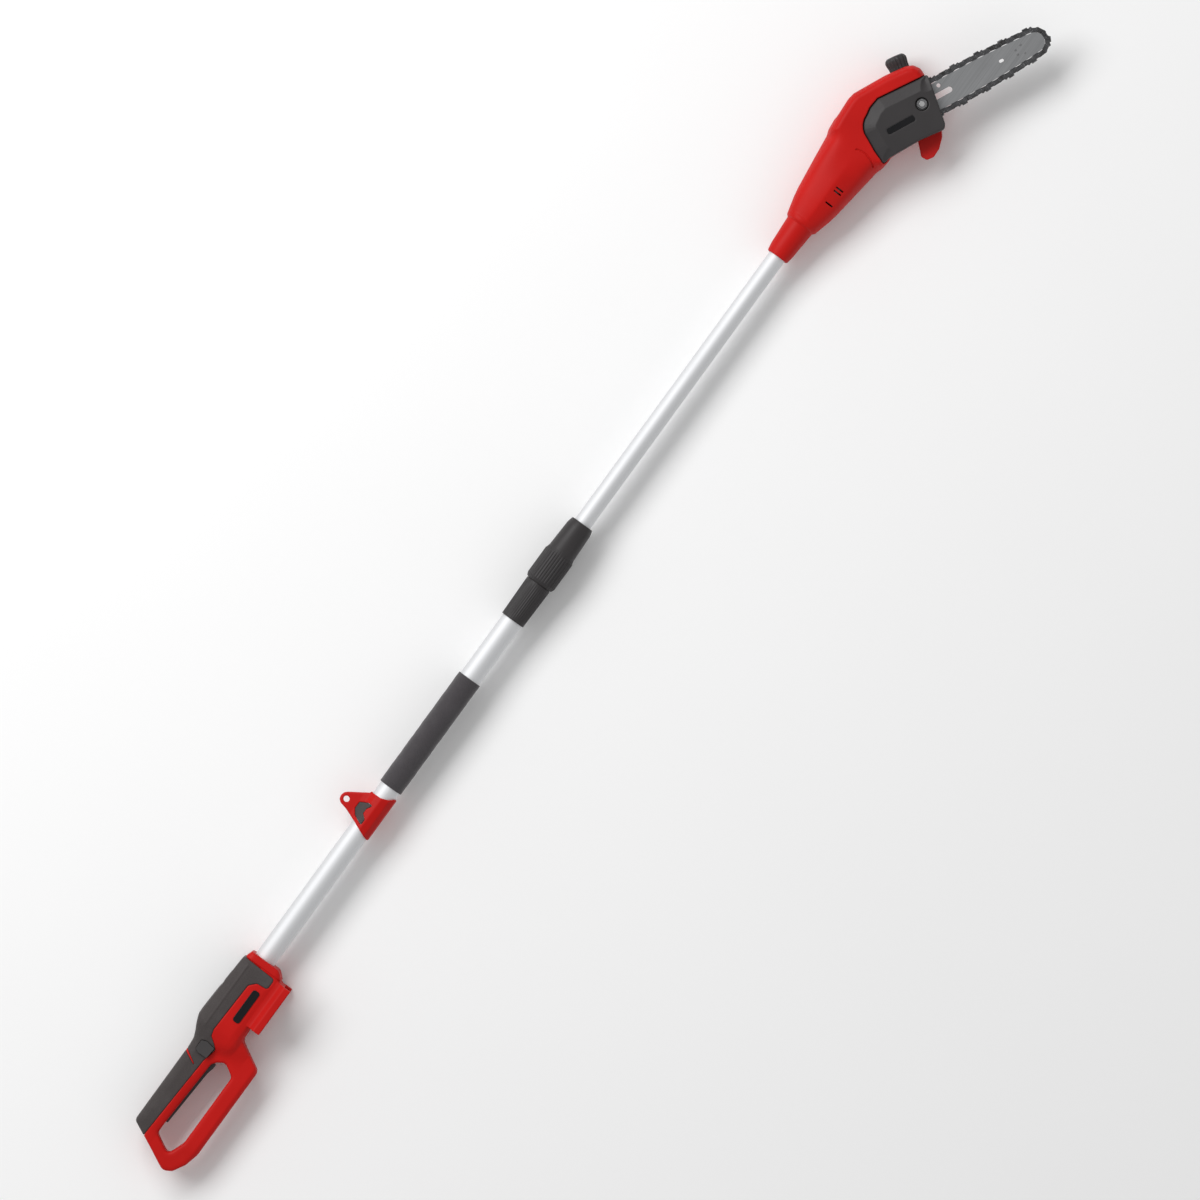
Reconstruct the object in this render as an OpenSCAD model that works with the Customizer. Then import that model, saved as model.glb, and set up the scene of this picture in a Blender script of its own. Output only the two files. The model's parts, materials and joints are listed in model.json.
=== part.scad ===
// Battery pole saw that telescopes, lying on its side: +X runs along the pole towards the saw,
// +Y is the side of the grip and the oil cap, +Z is the side of the sprocket cover.

/* [Pole] */
// Outer diameter of the lower tube
lower_tube_d = 32; // [31.5:0.1:32.5]
// Outer diameter of the upper tube
upper_tube_d = 26; // [25.6:0.1:26.4]
// Wall of both tubes
tube_wall = 1.4; // [1.2:0.1:1.6]
// Length of upper tube between the twist lock and the saw head
tube_showing = 469; // [460:1:480]
// How far the upper tube slides into the lower tube
telescope_travel = 430; // [400:5:440]

/* [Handle] */
// Half of the width of the grip
grip_half = 17.5; // [17:0.5:19]
// Half of the width of the handle's body
body_half = 31; // [30:0.5:32]
// Wall of the plastic shells
shell_wall = 3.4; // [3:0.1:3.6]
// Thickness of the rubber skin
skin = 1.6; // [1.4:0.1:1.8]

/* [Saw] */
// Angle between the pole and the guide bar
bar_tilt = 25; // [25:0.5:25.5]
// Drive links in the chain
drive_links = 32; // [32:1:32]
// Distance between neighbouring rivets of the chain
rivet_pitch = 9.525; // [9.525:0.001:9.525]
// Thickness of the guide bar
bar_thick = 4; // [3.8:0.1:4]
// Radius of the chain's rivet line round the sprocket and the nose
wrap_r = 18.19; // [18.19:0.01:18.19]
// Half of the distance between the rivet lines at the middle of the bar
rail_half = 23.6; // [23:0.1:24]

/* [Fits] */
// Radial clearance of a running fit
run_gap = 0.05; // [0.03:0.01:0.08]
// Clearance between parts that move past each other
move_gap = 0.35; // [0.3:0.05:0.4]

/* [Hidden] */
$fn = 48;

// The frame: the middle of the whole saw is over the origin, and it lies on its flat side.
side_half = 36;
lower_r = lower_tube_d / 2;
upper_r = upper_tube_d / 2;
lock_rear_x = 924;
lock_split_x = 988;
lock_front_x = 1093;
head_x = lock_front_x + tube_showing;
sprocket_at = [235.7, -12];
bar_z = 21.5;
middle = [1022, -45];

// Screws that hold the shells together, and what they need in the shells
screw_r = 1.9;
screw_head_r = 3.4;
screw_well_r = 3.6;
boss_r = 3.9;

module in_frame() {
    translate([-middle[0], -middle[1], side_half]) children();
}

module in_head() {
    in_frame() translate([head_x, 0, 0]) children();
}

// At the sprocket shaft, with Z along it
module at_shaft() {
    in_head() translate([sprocket_at[0], sprocket_at[1], 0]) children();
}

// At the sprocket, with X along the guide bar and Z still the saw's own
module at_bar() {
    at_shaft() rotate([0, 0, -bar_tilt]) children();
}

module round_corners(r) {
    offset(r = r) offset(delta = -r) children();
}

// An outline of (Y, Z) points pushed along X
module along_x(x0, x1) {
    translate([x0, 0, 0]) rotate([90, 0, 90]) linear_extrude(x1 - x0) children();
}

// A cylinder or ring whose axis lies along X
module ring_x(x0, x1, r, bore = 0) {
    translate([x0, 0, 0]) rotate([0, 90, 0]) difference() {
        cylinder(h = x1 - x0, r = r);
        if (bore > 0) translate([0, 0, -1]) cylinder(h = x1 - x0 + 2, r = bore);
    }
}

module left_half() {
    intersection() {
        children();
        translate([-100, -200, 0]) cube([900, 400, 100]);
    }
}

module right_half() {
    intersection() {
        children();
        translate([-100, -200, -100]) cube([900, 400, 100]);
    }
}

function mirrored(half) = concat(half, [for (i = [len(half) - 1:-1:0]) [half[i][0], -half[i][1]]]);

// ---------------------------------------------------------------- handle

handle_outline = [
    [37, 16.5], [167, 16.5], [190, 21.5], [213, 31.8], [222, 32.4], [313, 27], [323, 22.8],
    [329, 21.8], [329, -25], [314, -41], [314, -42], [217, -42], [194, -84], [188, -86.6],
    [48, -86.6], [26, -80.5], [8, -70.5], [0, -58.5], [15, -29.3]
];
handle_hole = [
    [24, -50.5], [39.5, -21.4], [60, -21.6], [163, -25.6], [170, -31], [176.5, -41],
    [165, -60.2], [50, -60.2], [41, -57]
];
handle_plan = [
    [-1, 9], [6, 13.5], [38, 14.5], [50, grip_half], [150, grip_half], [172, 19.5], [190, 24],
    [210, 29.5], [222, body_half], [304, body_half], [323, 29.5], [330, 28]
];
grip_section = [
    [17, 9], [14, 14.5], [5, 18], [-12, 18], [-22, 14.5], [-62, 13.5], [-80, 13.5], [-87, 9]
];
body_section = [
    [33, 15], [29, 23], [20, 29.5], [10, 32], [-26, 32], [-35, 28], [-43, 21], [-62, 15],
    [-79, 14.2], [-87.5, 10.4]
];
foot_x = [238, 314];
foot_bottom = -56;
foot_section = [[foot_bottom, side_half], [-46, side_half], [-39, 29.4], [-34, 28.4]];

// The handle's whole outer form, or that form shrunk by a wall
module handle_form(inset) {
    intersection() {
        linear_extrude(100, center = true) offset(delta = -inset) difference() {
            round_corners(4) polygon(handle_outline);
            round_corners(3) polygon(handle_hole);
        }
        translate([0, 60, 0]) rotate([90, 0, 0]) linear_extrude(160)
            offset(delta = -inset) polygon(mirrored(handle_plan));
        union() {
            along_x(-1, 190) offset(delta = -inset) polygon(mirrored(grip_section));
            along_x(168, 330) offset(delta = -inset) polygon(mirrored(body_section));
        }
    }
}

// The foot that the battery slides onto, open at the front and below
module battery_foot() {
    difference() {
        along_x(foot_x[0], foot_x[1]) polygon(mirrored(foot_section));
        translate([foot_x[0] + 4, foot_bottom - 1, -27]) cube([90, 11.5, 54]);
    }
    for (s = [-1, 1]) translate([foot_x[0] + 4, foot_bottom, s * 25.5 - 1.5])
        cube([foot_x[1] - foot_x[0] - 4, 3.4, 3]);
}

// Where the rubber skin lies, from the side; a narrow red seam runs into it
module rubber_zone() {
    linear_extrude(100, center = true) difference() {
        polygon([
            [10, 40], [24, -7.5], [29, -7.3], [162, -13.7], [184, -18.5], [190, -12], [197, -2.3],
            [207, 0.5], [286, -2.3], [295.5, -10.8], [297, -27.8], [314, -27.8], [316.7, 40]
        ]);
        polygon([[163.5, 20], [161.5, 20], [148.5, -5], [150.5, -5]]);
    }
}

module rubber_skin() {
    difference() {
        intersection() {
            handle_form(0);
            rubber_zone();
        }
        handle_form(skin);
        lock_off_hole();
    }
}

// Screw places: X, Y and half of the handle's width there
handle_bosses = [
    [22, -62, 13], [46, 3, 16], [100, 4, 16], [75, -73.5, 13], [170, -73.5, 13], [205, -36, 22],
    [232, 24, 25], [296, 22.5, 26], [312, -24, 26]
];

lock_off_outline = [[167, -15], [185, -16.5], [187, -2], [184, 5.5], [170, 5.5], [167, 0]];
lock_off_stem = [177, -5];

module lock_off_hole() {
    linear_extrude(60) offset(delta = move_gap) round_corners(2) polygon(lock_off_outline);
    translate([lock_off_stem[0], lock_off_stem[1], -60]) cylinder(h = 61, r = 4.5 + move_gap);
}

trigger_pivot = [66, -17];
trigger_half = 5.9;

// Ribs across the body, with a window for the leads
module body_ribs() {
    difference() {
        for (x = [222, 306]) translate([x, -40, -40]) cube([4, 75, 80]);
        translate([220, -32, -9]) cube([8, 9, 12]);
    }
}

module handle_shell() {
    difference() {
        union() {
            difference() {
                union() {
                    handle_form(skin);
                    difference() {
                        handle_form(0);
                        rubber_zone();
                    }
                    battery_foot();
                }
                handle_form(shell_wall + skin);
            }
            intersection() {
                handle_form(skin + 1);
                union() {
                    for (b = handle_bosses) translate([b[0], b[1], -side_half])
                        cylinder(h = 2 * side_half, r = boss_r);
                    body_ribs();
                    for (s = [-1, 1]) translate([trigger_pivot[0], trigger_pivot[1], s * 11.5 - 4.5])
                        cylinder(h = 9, r = 4.2);
                }
            }
        }
        ring_x(214, 340, lower_r);
        translate([57, -40, -trigger_half - 0.5])
            cube([112.5, 27.4, 2 * trigger_half + 1]);
        translate([trigger_pivot[0], trigger_pivot[1], -13]) cylinder(h = 26, r = 2);
        translate([246, -46, -19]) cube([50, 10, 38]);
        lock_off_hole();
        badge_pocket();
        for (b = handle_bosses) translate([b[0], b[1], 0]) {
            translate([0, 0, -b[2] + 4]) cylinder(h = b[2] + 6, r = screw_r);
            translate([0, 0, -60]) cylinder(h = 64 - b[2], r = screw_well_r);
        }
    }
}

badge_at = [260, -18];
badge_deep = 0.8;

module badge_pocket() {
    for (s = [0, 1]) mirror([0, 0, s]) translate([badge_at[0], badge_at[1], body_half - badge_deep])
        linear_extrude(5) round_corners(4) square([54, 12], center = true);
}

module handle_shell_left() {
    color("red") in_frame() left_half() handle_shell();
}

module handle_shell_right() {
    color("red") in_frame() right_half() handle_shell();
}

module grip_rubber_left() {
    color([0.25, 0.24, 0.24]) in_frame() left_half() rubber_skin();
}

module grip_rubber_right() {
    color([0.25, 0.24, 0.24]) in_frame() right_half() difference() {
        rubber_skin();
        for (b = handle_bosses) translate([b[0], b[1], -60]) cylinder(h = 60, r = screw_well_r);
    }
}

// A screw along Z with its head at the bottom
module case_screw(head_z, length) {
    translate([0, 0, head_z]) {
        cylinder(h = length, r = screw_r);
        difference() {
            translate([0, 0, -2.4]) cylinder(h = 2.4, r = screw_head_r);
            translate([0, 0, -2.5]) cylinder(h = 1.6, r = 1.6, $fn = 6);
        }
    }
}

module handle_screws() {
    color("silver") in_frame() for (b = handle_bosses)
        translate([b[0], b[1], 0]) case_screw(-b[2] + 4, b[2] + 3);
}

module handle_badges() {
    color([0.1, 0.1, 0.1]) in_frame() for (s = [0, 1]) mirror([0, 0, s])
        translate([badge_at[0], badge_at[1], body_half - badge_deep])
            linear_extrude(badge_deep + 0.3) round_corners(4) square([53.4, 11.4], center = true);
}

module battery_dock() {
    color([0.15, 0.15, 0.15]) in_frame() difference() {
        translate([247, -50, -18]) cube([48, 11, 36]);
        for (z = [-11, 0, 11]) translate([252, -53, z - 1.6]) cube([38, 8, 3.2]);
    }
}

module contact_blades() {
    color("goldenrod") in_frame() for (z = [-11, 0, 11])
        translate([256, -50.5, z - 0.5]) cube([28, 5.5, 1]);
}

switch_x = [130, 158];
plunger_x = 144;

module switch_body() {
    color([0.12, 0.12, 0.12]) in_frame() difference() {
        translate([switch_x[0], -7.5, -7.5]) cube([28, 15.5, 15]);
        translate([plunger_x, -8, 0]) rotate([-90, 0, 0]) cylinder(h = 11, r = 2.4 + run_gap);
    }
}

module switch_plunger() {
    color("white") in_frame() translate([plunger_x, -12.2, 0])
        rotate([-90, 0, 0]) cylinder(h = 10, r = 2.4);
}

// Long trigger under the grip: hinged at the rear, hollow, with a floor that curls down in front
module trigger() {
    color([0.16, 0.15, 0.15]) in_frame() difference() {
        linear_extrude(2 * trigger_half, center = true) round_corners(1.5) polygon([
            [59.5, -13.4], [59.5, -24.4], [150, -29.2], [159, -31.6], [165, -31.8], [166.5, -29],
            [166.5, -20], [160, -13.8], [148, -12.9], [140, -12.9], [134, -16], [76, -13.6]
        ]);
        linear_extrude(2 * trigger_half - 4, center = true)
            polygon([[57, -10], [57, -22.4], [130, -26.4], [130, -10]]);
        translate([trigger_pivot[0], trigger_pivot[1], -10]) cylinder(h = 20, r = 2 + run_gap);
    }
}

module trigger_pin() {
    color("silver") in_frame() translate([trigger_pivot[0], trigger_pivot[1], -12])
        cylinder(h = 24, r = 2);
}

// A round wire along a list of points, swept as rings of ten points; it never runs along side
module wire(points, r, side = [0, 0, 1]) {
    sides = 10;
    last = len(points) - 1;
    function unit(v) = v / norm(v);
    function heading(i) = unit(
        (i > 0 ? unit(points[i] - points[i - 1]) : [0, 0, 0])
        + (i < last ? unit(points[i + 1] - points[i]) : [0, 0, 0]));
    rings = [
        for (i = [0:last]) for (j = [0:sides - 1])
        let (d = heading(i), p = unit(cross(side, d)), q = cross(d, p), a = 360 * j / sides)
        points[i] + r * (cos(a) * p + sin(a) * q)
    ];
    faces = concat(
        [for (i = [0:last - 1]) for (j = [0:sides - 1])
            let (k = (j + 1) % sides, m = i * sides)
            [m + j, m + sides + j, m + sides + k, m + k]],
        [[for (j = [0:sides - 1]) j], [for (j = [sides - 1:-1:0]) last * sides + j]]
    );
    polyhedron(points = rings, faces = faces);
}

// A helical wire about Z, swept as rings of six points
module coil(radius, wire_r, turns, height) {
    steps = turns * 18;
    sides = 6;
    points = [
        for (i = [0:steps]) for (j = [0:sides - 1])
        let (a = 360 * turns * i / steps, b = 360 * j / sides, q = radius + wire_r * cos(b))
        [q * cos(a), q * sin(a), wire_r + (height - 2 * wire_r) * i / steps + wire_r * sin(b)]
    ];
    faces = concat(
        [for (i = [0:steps - 1]) for (j = [0:sides - 1])
            let (k = (j + 1) % sides, p = i * sides)
            [p + j, p + k, p + sides + k, p + sides + j]],
        [[for (j = [sides - 1:-1:0]) j], [for (j = [0:sides - 1]) steps * sides + j]]
    );
    mirror([1, 0, 0]) polyhedron(points = points, faces = faces);
}

module trigger_spring() {
    color("silver") in_frame() translate([trigger_pivot[0], trigger_pivot[1], -2.8]) {
        coil(3, 0.5, 4, 5.6);
        wire([[3, 0, 0.5], [3.2, -1.6, 0.7], [16, -3.2, 0.7]], 0.5);
    }
}

module lock_off_button() {
    color([0.2, 0.2, 0.2]) in_frame() {
        linear_extrude(22.6) round_corners(2) polygon(lock_off_outline);
        translate([lock_off_stem[0], lock_off_stem[1], -19]) cylinder(h = 19.5, r = 4.5);
    }
}

module lock_off_spring() {
    color("silver") in_frame() translate([lock_off_stem[0], lock_off_stem[1], -12.8])
        coil(6, 0.5, 4, 12.4);
}

module switch_leads() {
    color([0.1, 0.1, 0.1]) in_frame() {
        for (z = [-6.4, -4]) wire([
            [262, -39, z], [262, -31, z], [216, -26, z], [206, -8, z], [190, 7.6, z],
            [167, 7.6, z], [switch_x[1], 5, z]
        ], 1.1);
        wire([
            [switch_x[1], 5, -1.6], [167, 7.6, -1.6], [190, 7.6, -1.6], [207, 2, -1.6],
            [228, 0, -0.3], [239.8, 0, 0]
        ], 1.1);
    }
}

// ---------------------------------------------------------------- tubes, grip and sling bracket

module lower_tube() {
    color([0.8, 0.81, 0.82]) in_frame() ring_x(214, lock_split_x - 3, lower_r, lower_r - tube_wall);
}

grip_x = [630, 821];

module foam_grip() {
    color([0.18, 0.17, 0.18]) in_frame() rotate([0, 90, 0]) rotate_extrude() polygon([
        [lower_r, grip_x[0]], [17.2, grip_x[0]], [18.2, grip_x[0] + 2], [18.2, grip_x[1] - 2],
        [17.2, grip_x[1]], [lower_r, grip_x[1]]
    ]);
}

sling_x = [548, 622.5];
sling_eye = [580.3, 41];
sling_bolt_at = [598, 22];
sling_outline = [
    [548, -19], [560, 10.5], [568.5, 33], [571, 44.5], [574.5, 49.2], [580.3, 50.8],
    [586, 49.2], [589.5, 45.5], [607, 19], [609.6, 18.6], [610.4, 2], [614, -8], [622.5, -19]
];
sling_insert_outline = [
    [562.5, 2.5], [569, 17.5], [577, 23.5], [588, 23.5], [594.5, 12], [594.5, 4.5], [586, 9.5],
    [578, 9.5], [572, 2.5]
];

// The clamp's form: a triangle from the side, a ring with a fin from the front
module sling_form(grow) {
    intersection() {
        linear_extrude(60, center = true) polygon(sling_outline);
        along_x(sling_x[0] - 1, sling_x[1] + 1) offset(delta = grow) hull() {
            circle(r = 19);
            translate([25, 0]) square([1, 14], center = true);
            translate([51, 0]) square([1, 9], center = true);
        }
    }
}

module sling_clamp() {
    difference() {
        sling_form(0);
        ring_x(500, 660, lower_r + run_gap);
        translate([sling_eye[0], sling_eye[1], -20]) cylinder(h = 40, r = 4.5);
        linear_extrude(60, center = true) polygon(sling_insert_outline);
        translate([sling_bolt_at[0], sling_bolt_at[1], -3]) cylinder(h = 7, r = 2);
        translate([sling_bolt_at[0], sling_bolt_at[1], -40]) cylinder(h = 37, r = 4.2);
    }
}

module sling_bracket_left() {
    color("red") in_frame() left_half() sling_clamp();
}

module sling_bracket_right() {
    color("red") in_frame() right_half() sling_clamp();
}

module sling_insert() {
    color([0.2, 0.2, 0.2]) in_frame() difference() {
        intersection() {
            sling_form(0.6);
            linear_extrude(60, center = true) offset(delta = -0.05) polygon(sling_insert_outline);
        }
        ring_x(500, 660, lower_r + run_gap);
    }
}

module sling_bolt() {
    color("silver") in_frame() translate([sling_bolt_at[0], sling_bolt_at[1], 0]) {
        translate([0, 0, -3]) cylinder(h = 6.8, r = 2);
        translate([0, 0, -6.5]) cylinder(h = 3.5, r = 4, $fn = 6);
    }
}

// ---------------------------------------------------------------- twist lock

nose_end_x = lock_split_x + 40;
collet_x = [nose_end_x + 4, 1078];

module lock_sleeve() {
    color([0.23, 0.22, 0.23]) in_frame() rotate([0, 90, 0]) rotate_extrude() polygon([
        [lower_r, lock_rear_x], [18.3, lock_rear_x], [19.5, lock_split_x - 1.4],
        [18.6, lock_split_x - 0.6], [18.6, nose_end_x], [upper_r + 0.6, nose_end_x],
        [upper_r + 0.6, lock_split_x - 3], [lower_r, lock_split_x - 3]
    ]);
}

module lock_nut() {
    color([0.23, 0.22, 0.23]) in_frame() rotate([0, 90, 0]) rotate_extrude() polygon([
        [18.95, lock_split_x], [20.6, lock_split_x], [23.1, lock_split_x + 5],
        [23.1, lock_split_x + 49], [20.9, lock_split_x + 55], [19.3, lock_front_x - 9],
        [17.2, lock_front_x], [upper_r + 0.6, lock_front_x], [upper_r + 0.6, lock_front_x - 10],
        [15.7, lock_front_x - 13], [17.9, nose_end_x + 1], [18.95, nose_end_x + 1]
    ]);
}

// Tapered ring with four slots, squeezed onto the upper tube by the nut
module collet() {
    color([0.85, 0.85, 0.83]) in_frame() difference() {
        rotate([0, 90, 0]) rotate_extrude() polygon([
            [upper_r + run_gap, collet_x[0]], [17, collet_x[0]], [15.4, collet_x[1]],
            [upper_r + run_gap, collet_x[1]]
        ]);
        for (a = [0, 90]) rotate([a, 0, 0])
            translate([collet_x[0] + 8, -30, -0.7]) cube([60, 60, 1.4]);
    }
}

// ---------------------------------------------------------------- inside the tubes

upper_rear_x = 900;
cable_x = [262, 880];

// The stretchy cable's outer form, with its straight ends
module coiled_cable() {
    color([0.1, 0.1, 0.1]) in_frame() {
        ring_x(cable_x[0], cable_x[1], 9);
        ring_x(240, cable_x[0], 2.4);
        ring_x(cable_x[1], upper_rear_x - 2, 2.4);
    }
}

neck_depth = 50;

module upper_tube() {
    color([0.8, 0.81, 0.82]) in_frame()
        ring_x(upper_rear_x, head_x + neck_depth, upper_r, upper_r - tube_wall);
}

module tube_guide() {
    color([0.9, 0.9, 0.88]) in_frame() {
        ring_x(upper_rear_x, upper_rear_x + 20, lower_r - tube_wall - 0.2, upper_r);
        ring_x(upper_rear_x - 4, upper_rear_x, lower_r - tube_wall - 0.2, 9.6);
    }
}

motor_y = sprocket_at[1];

module head_lead() {
    color([0.1, 0.1, 0.1]) in_frame()
        wire([[upper_rear_x, 0, 0], [head_x + 80, 0, 0], [head_x + 103.5, 1, 0]], 2.4);
}

// ---------------------------------------------------------------- saw head

cone_radii = [
    [0, 15.6], [1.5, 17], [12, 18.7], [55, 21.5], [58, 25.2], [69, 27.5], [83, 31.1],
    [97, 33.8], [119, 36.6], [147, 40.2], [190, 45.3], [204, 46]
];
lobe_outline = [
    [186, 44.8], [211, 48.3], [239, 50], [250, 48.6], [296, 28], [324, 12], [332, 4.5],
    [334.6, -7], [331, -17], [293, -78], [284, -80.5], [252, -64.5], [206.5, -46.5],
    [186, -44.8]
];
cover_arc_r = 27.5;
cover_outline = concat(
    [[193.6, -44.3], [200, -25]],
    [for (a = [165:-15:90]) sprocket_at + cover_arc_r * [cos(a), sin(a)]],
    [[246, 17.8], [263, 16.8], [332.7, -20.1], [290.5, -81.5], [284, -85.5], [252, -67], [206.4, -47]]
);
pocket_z = 15;

// The head's outer form, or that form shrunk by a wall
module head_form(inset) {
    intersection() {
        rotate([0, 90, 0]) rotate_extrude() polygon(concat([[0, inset]],
            [for (p = cone_radii) [p[1] - inset, max(p[0], inset)]], [[0, 204]]));
        translate([0, -60, inset - side_half]) cube([210, 120, 2 * (side_half - inset)]);
    }
    hull() {
        linear_extrude(2 * (27 - inset), center = true)
            offset(delta = -inset) round_corners(4) polygon(lobe_outline);
        linear_extrude(2 * (side_half - inset), center = true)
            offset(delta = -8 - inset) polygon(lobe_outline);
    }
}

module cover_prism(grow, z0, z1) {
    translate([0, 0, z0]) linear_extrude(z1 - z0)
        offset(delta = grow) round_corners(3) polygon(cover_outline);
}

// Screw places in the head: X, Y and the height of the seat under the screw's head
head_bosses = [
    [72, 15, -17], [72, -15, -17], [140, 26, -22], [204, 34, -29], [258, 33, -29],
    [275.5, -60.6, -29]
];
cap_at = [317, 14];
cap_lean = 30;
cap_z = -3;
cap_r = 15.2;
cap_rib_r = 1;
cap_height = 22;
tank_mouth_r = 12;
stud_x = 63.5;

// At the mouth of the oil tank, with Z out of it
module at_cap() {
    translate([cap_at[0], cap_at[1], cap_z]) rotate([0, 0, -cap_lean]) rotate([-90, 0, 0]) children();
}

hook_outline = [
    [254, -61], [235, -82], [236, -91], [245, -96.5], [259, -96], [275, -89.5], [284, -82], [284, -70]
];

module branch_hook_form() {
    translate([0, 0, 3]) linear_extrude(8) round_corners(3.5) polygon(hook_outline);
}

bar_pad_x = [38, 86];
channel_y = [-17, -5.6];
screw_axis = [0, -12.5, 16.2];

module head_vents() {
    for (x = [101, 121, 126.5]) translate([x, -22, -50]) cube([1.8, 12, 100]);
    linear_extrude(100, center = true) intersection() {
        translate([157, -14]) difference() {
            circle(r = 33);
            circle(r = 31.8);
        }
        translate([180, -28]) square([14, 25]);
    }
}

module head_shell() {
    difference() {
        union() {
            difference() {
                head_form(0);
                difference() {
                    head_form(3);
                    translate([-1, -60, -60]) cube([neck_depth + 5, 120, 120]);
                    cover_prism(3.5, 12, 60);
                }
                cover_prism(0.5, pocket_z, 60);
            }
            difference() {
                intersection() {
                    head_form(1);
                    for (b = head_bosses) translate([b[0], b[1], -side_half])
                        cylinder(h = 2 * side_half, r = boss_r);
                }
                cover_prism(0.5, pocket_z, 60);
            }
            translate([sprocket_at[0], sprocket_at[1], 0]) rotate([0, 0, -bar_tilt]) difference() {
                translate([bar_pad_x[0], -19, pocket_z - 0.5])
                    cube([bar_pad_x[1] - bar_pad_x[0], 33, bar_z - bar_thick / 2 - pocket_z + 0.4]);
                translate([bar_pad_x[0] - 1, channel_y[0], 0])
                    cube([bar_pad_x[1] - bar_pad_x[0] - 1, channel_y[1] - channel_y[0], 30]);
            }
        }
        ring_x(-1, neck_depth, upper_r);
        ring_x(neck_depth - 1, neck_depth + 6, 10);
        translate([sprocket_at[0], sprocket_at[1], 0]) {
            cylinder(h = 20, r = 12.5);
            rotate([0, 0, -bar_tilt]) {
                translate([stud_x, 0, 0]) cylinder(h = 30, r = 3.9);
                translate([bar_pad_x[0] - 1, channel_y[0], 13])
                    cube([bar_pad_x[1] - bar_pad_x[0] - 1, channel_y[1] - channel_y[0], 8]);
                translate([bar_pad_x[1] - 3, screw_axis[1], screw_axis[2]])
                    rotate([0, 90, 0]) cylinder(h = 5, r = 2 + run_gap);
                translate([bar_pad_x[1], -19, pocket_z]) cube([30, 33, 10]);
            }
        }
        at_cap() translate([0, 0, -12]) cylinder(h = 20, r = tank_mouth_r + 0.4);
        at_cap() translate([0, 0, -1.5]) cylinder(h = 20, r = cap_r + cap_rib_r + 0.5);
        branch_hook_form();
        translate([259, -38.5, 5]) cylinder(h = 20, r = 2);
        head_vents();
        for (b = head_bosses) translate([b[0], b[1], 0]) {
            translate([0, 0, b[2]]) cylinder(h = 10 - b[2], r = screw_r);
            translate([0, 0, -60]) cylinder(h = 60 + b[2], r = screw_well_r);
        }
    }
}

module head_shell_left() {
    color("red") in_head() left_half() head_shell();
}

module head_shell_right() {
    color("red") in_head() right_half() head_shell();
}

module head_screws() {
    color("silver") in_head() for (b = head_bosses)
        translate([b[0], b[1], 0]) case_screw(b[2], 8 - b[2]);
}

module branch_hook() {
    color("red") in_head() branch_hook_form();
}

// ---------------------------------------------------------------- motor and gears

motor_x = [116, 176];

module motor_can() {
    color("silver") in_head() translate([0, motor_y, 0]) {
        ring_x(motor_x[0], motor_x[1] - 2, 18.5, 16.6);
        ring_x(motor_x[1] - 2, motor_x[1], 18.5, 6);
        ring_x(motor_x[1], motor_x[1] + 5, 8, 6);
        for (a = [0, 180]) rotate([a, 0, 0]) intersection() {
            ring_x(motor_x[0] + 10, motor_x[1] - 12, 16.6, 15);
            translate([motor_x[0], 0, 0]) rotate([0, 90, 0]) linear_extrude(60)
                polygon([[0, 0], [26, 16], [26, -16]]);
        }
    }
}

module motor_end_bell() {
    color([0.15, 0.15, 0.15]) in_head() translate([0, motor_y, 0]) {
        ring_x(motor_x[0] - 12, motor_x[0] - 9, 17.5, 6);
        ring_x(motor_x[0] - 9, motor_x[0], 17.5, 15.5);
        ring_x(motor_x[0] - 16, motor_x[0] - 12, 8, 6);
    }
}

module armature() {
    color([0.6, 0.35, 0.2]) in_head() translate([0, motor_y, 0]) {
        difference() {
            ring_x(motor_x[0] + 10, motor_x[1] - 14, 14.6, 2.5);
            for (i = [0:4]) rotate([i * 72, 0, 0])
                translate([motor_x[0], 8, -1.1]) cube([60, 10, 2.2]);
        }
        ring_x(motor_x[0] - 7, motor_x[0] + 6, 6, 2.5);
        ring_x(motor_x[0] - 17, sprocket_at[0] - 16, 2.5);
    }
}

// Straight bevel teeth: every gap tapers towards the point where the two axes meet
gear_teeth = 30;
pinion_teeth = 10;
gear_pitch_r = 24;
pinion_pitch_r = gear_pitch_r * pinion_teeth / gear_teeth;
tooth_module = 2 * gear_pitch_r / gear_teeth;
cone_length = norm([gear_pitch_r, pinion_pitch_r]);
gap_share = 0.62;
gear_cone = atan2(gear_pitch_r, pinion_pitch_r);

function cone_point(length, cone, turn) =
    length * [sin(cone) * cos(turn), sin(cone) * sin(turn), cos(cone)];

module tooth_gap(teeth, cone) {
    rise = atan(1.3 * tooth_module / cone_length);
    fall = atan(1.2 * tooth_module / cone_length);
    pitch_width = gap_share * 3.1416 * tooth_module;
    flare = 2 * tooth_module * tan(20);
    function half_turn(width, angle) = asin(width / 2 / (cone_length * sin(angle)));
    wide = half_turn(pitch_width + 1.3 * flare, cone + rise);
    narrow = half_turn(pitch_width - 1.2 * flare, cone - fall);
    polyhedron(
        points = [
            for (reach = [0.55, 1.4]) for (corner = [
                [cone - fall, -narrow], [cone - fall, narrow], [cone + rise, wide], [cone + rise, -wide]
            ]) cone_point(reach * cone_length, corner[0], corner[1])
        ],
        faces = [
            [3, 2, 1, 0], [4, 5, 6, 7], [0, 1, 5, 4], [1, 2, 6, 5], [2, 3, 7, 6], [3, 0, 4, 7]
        ]
    );
}

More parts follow.
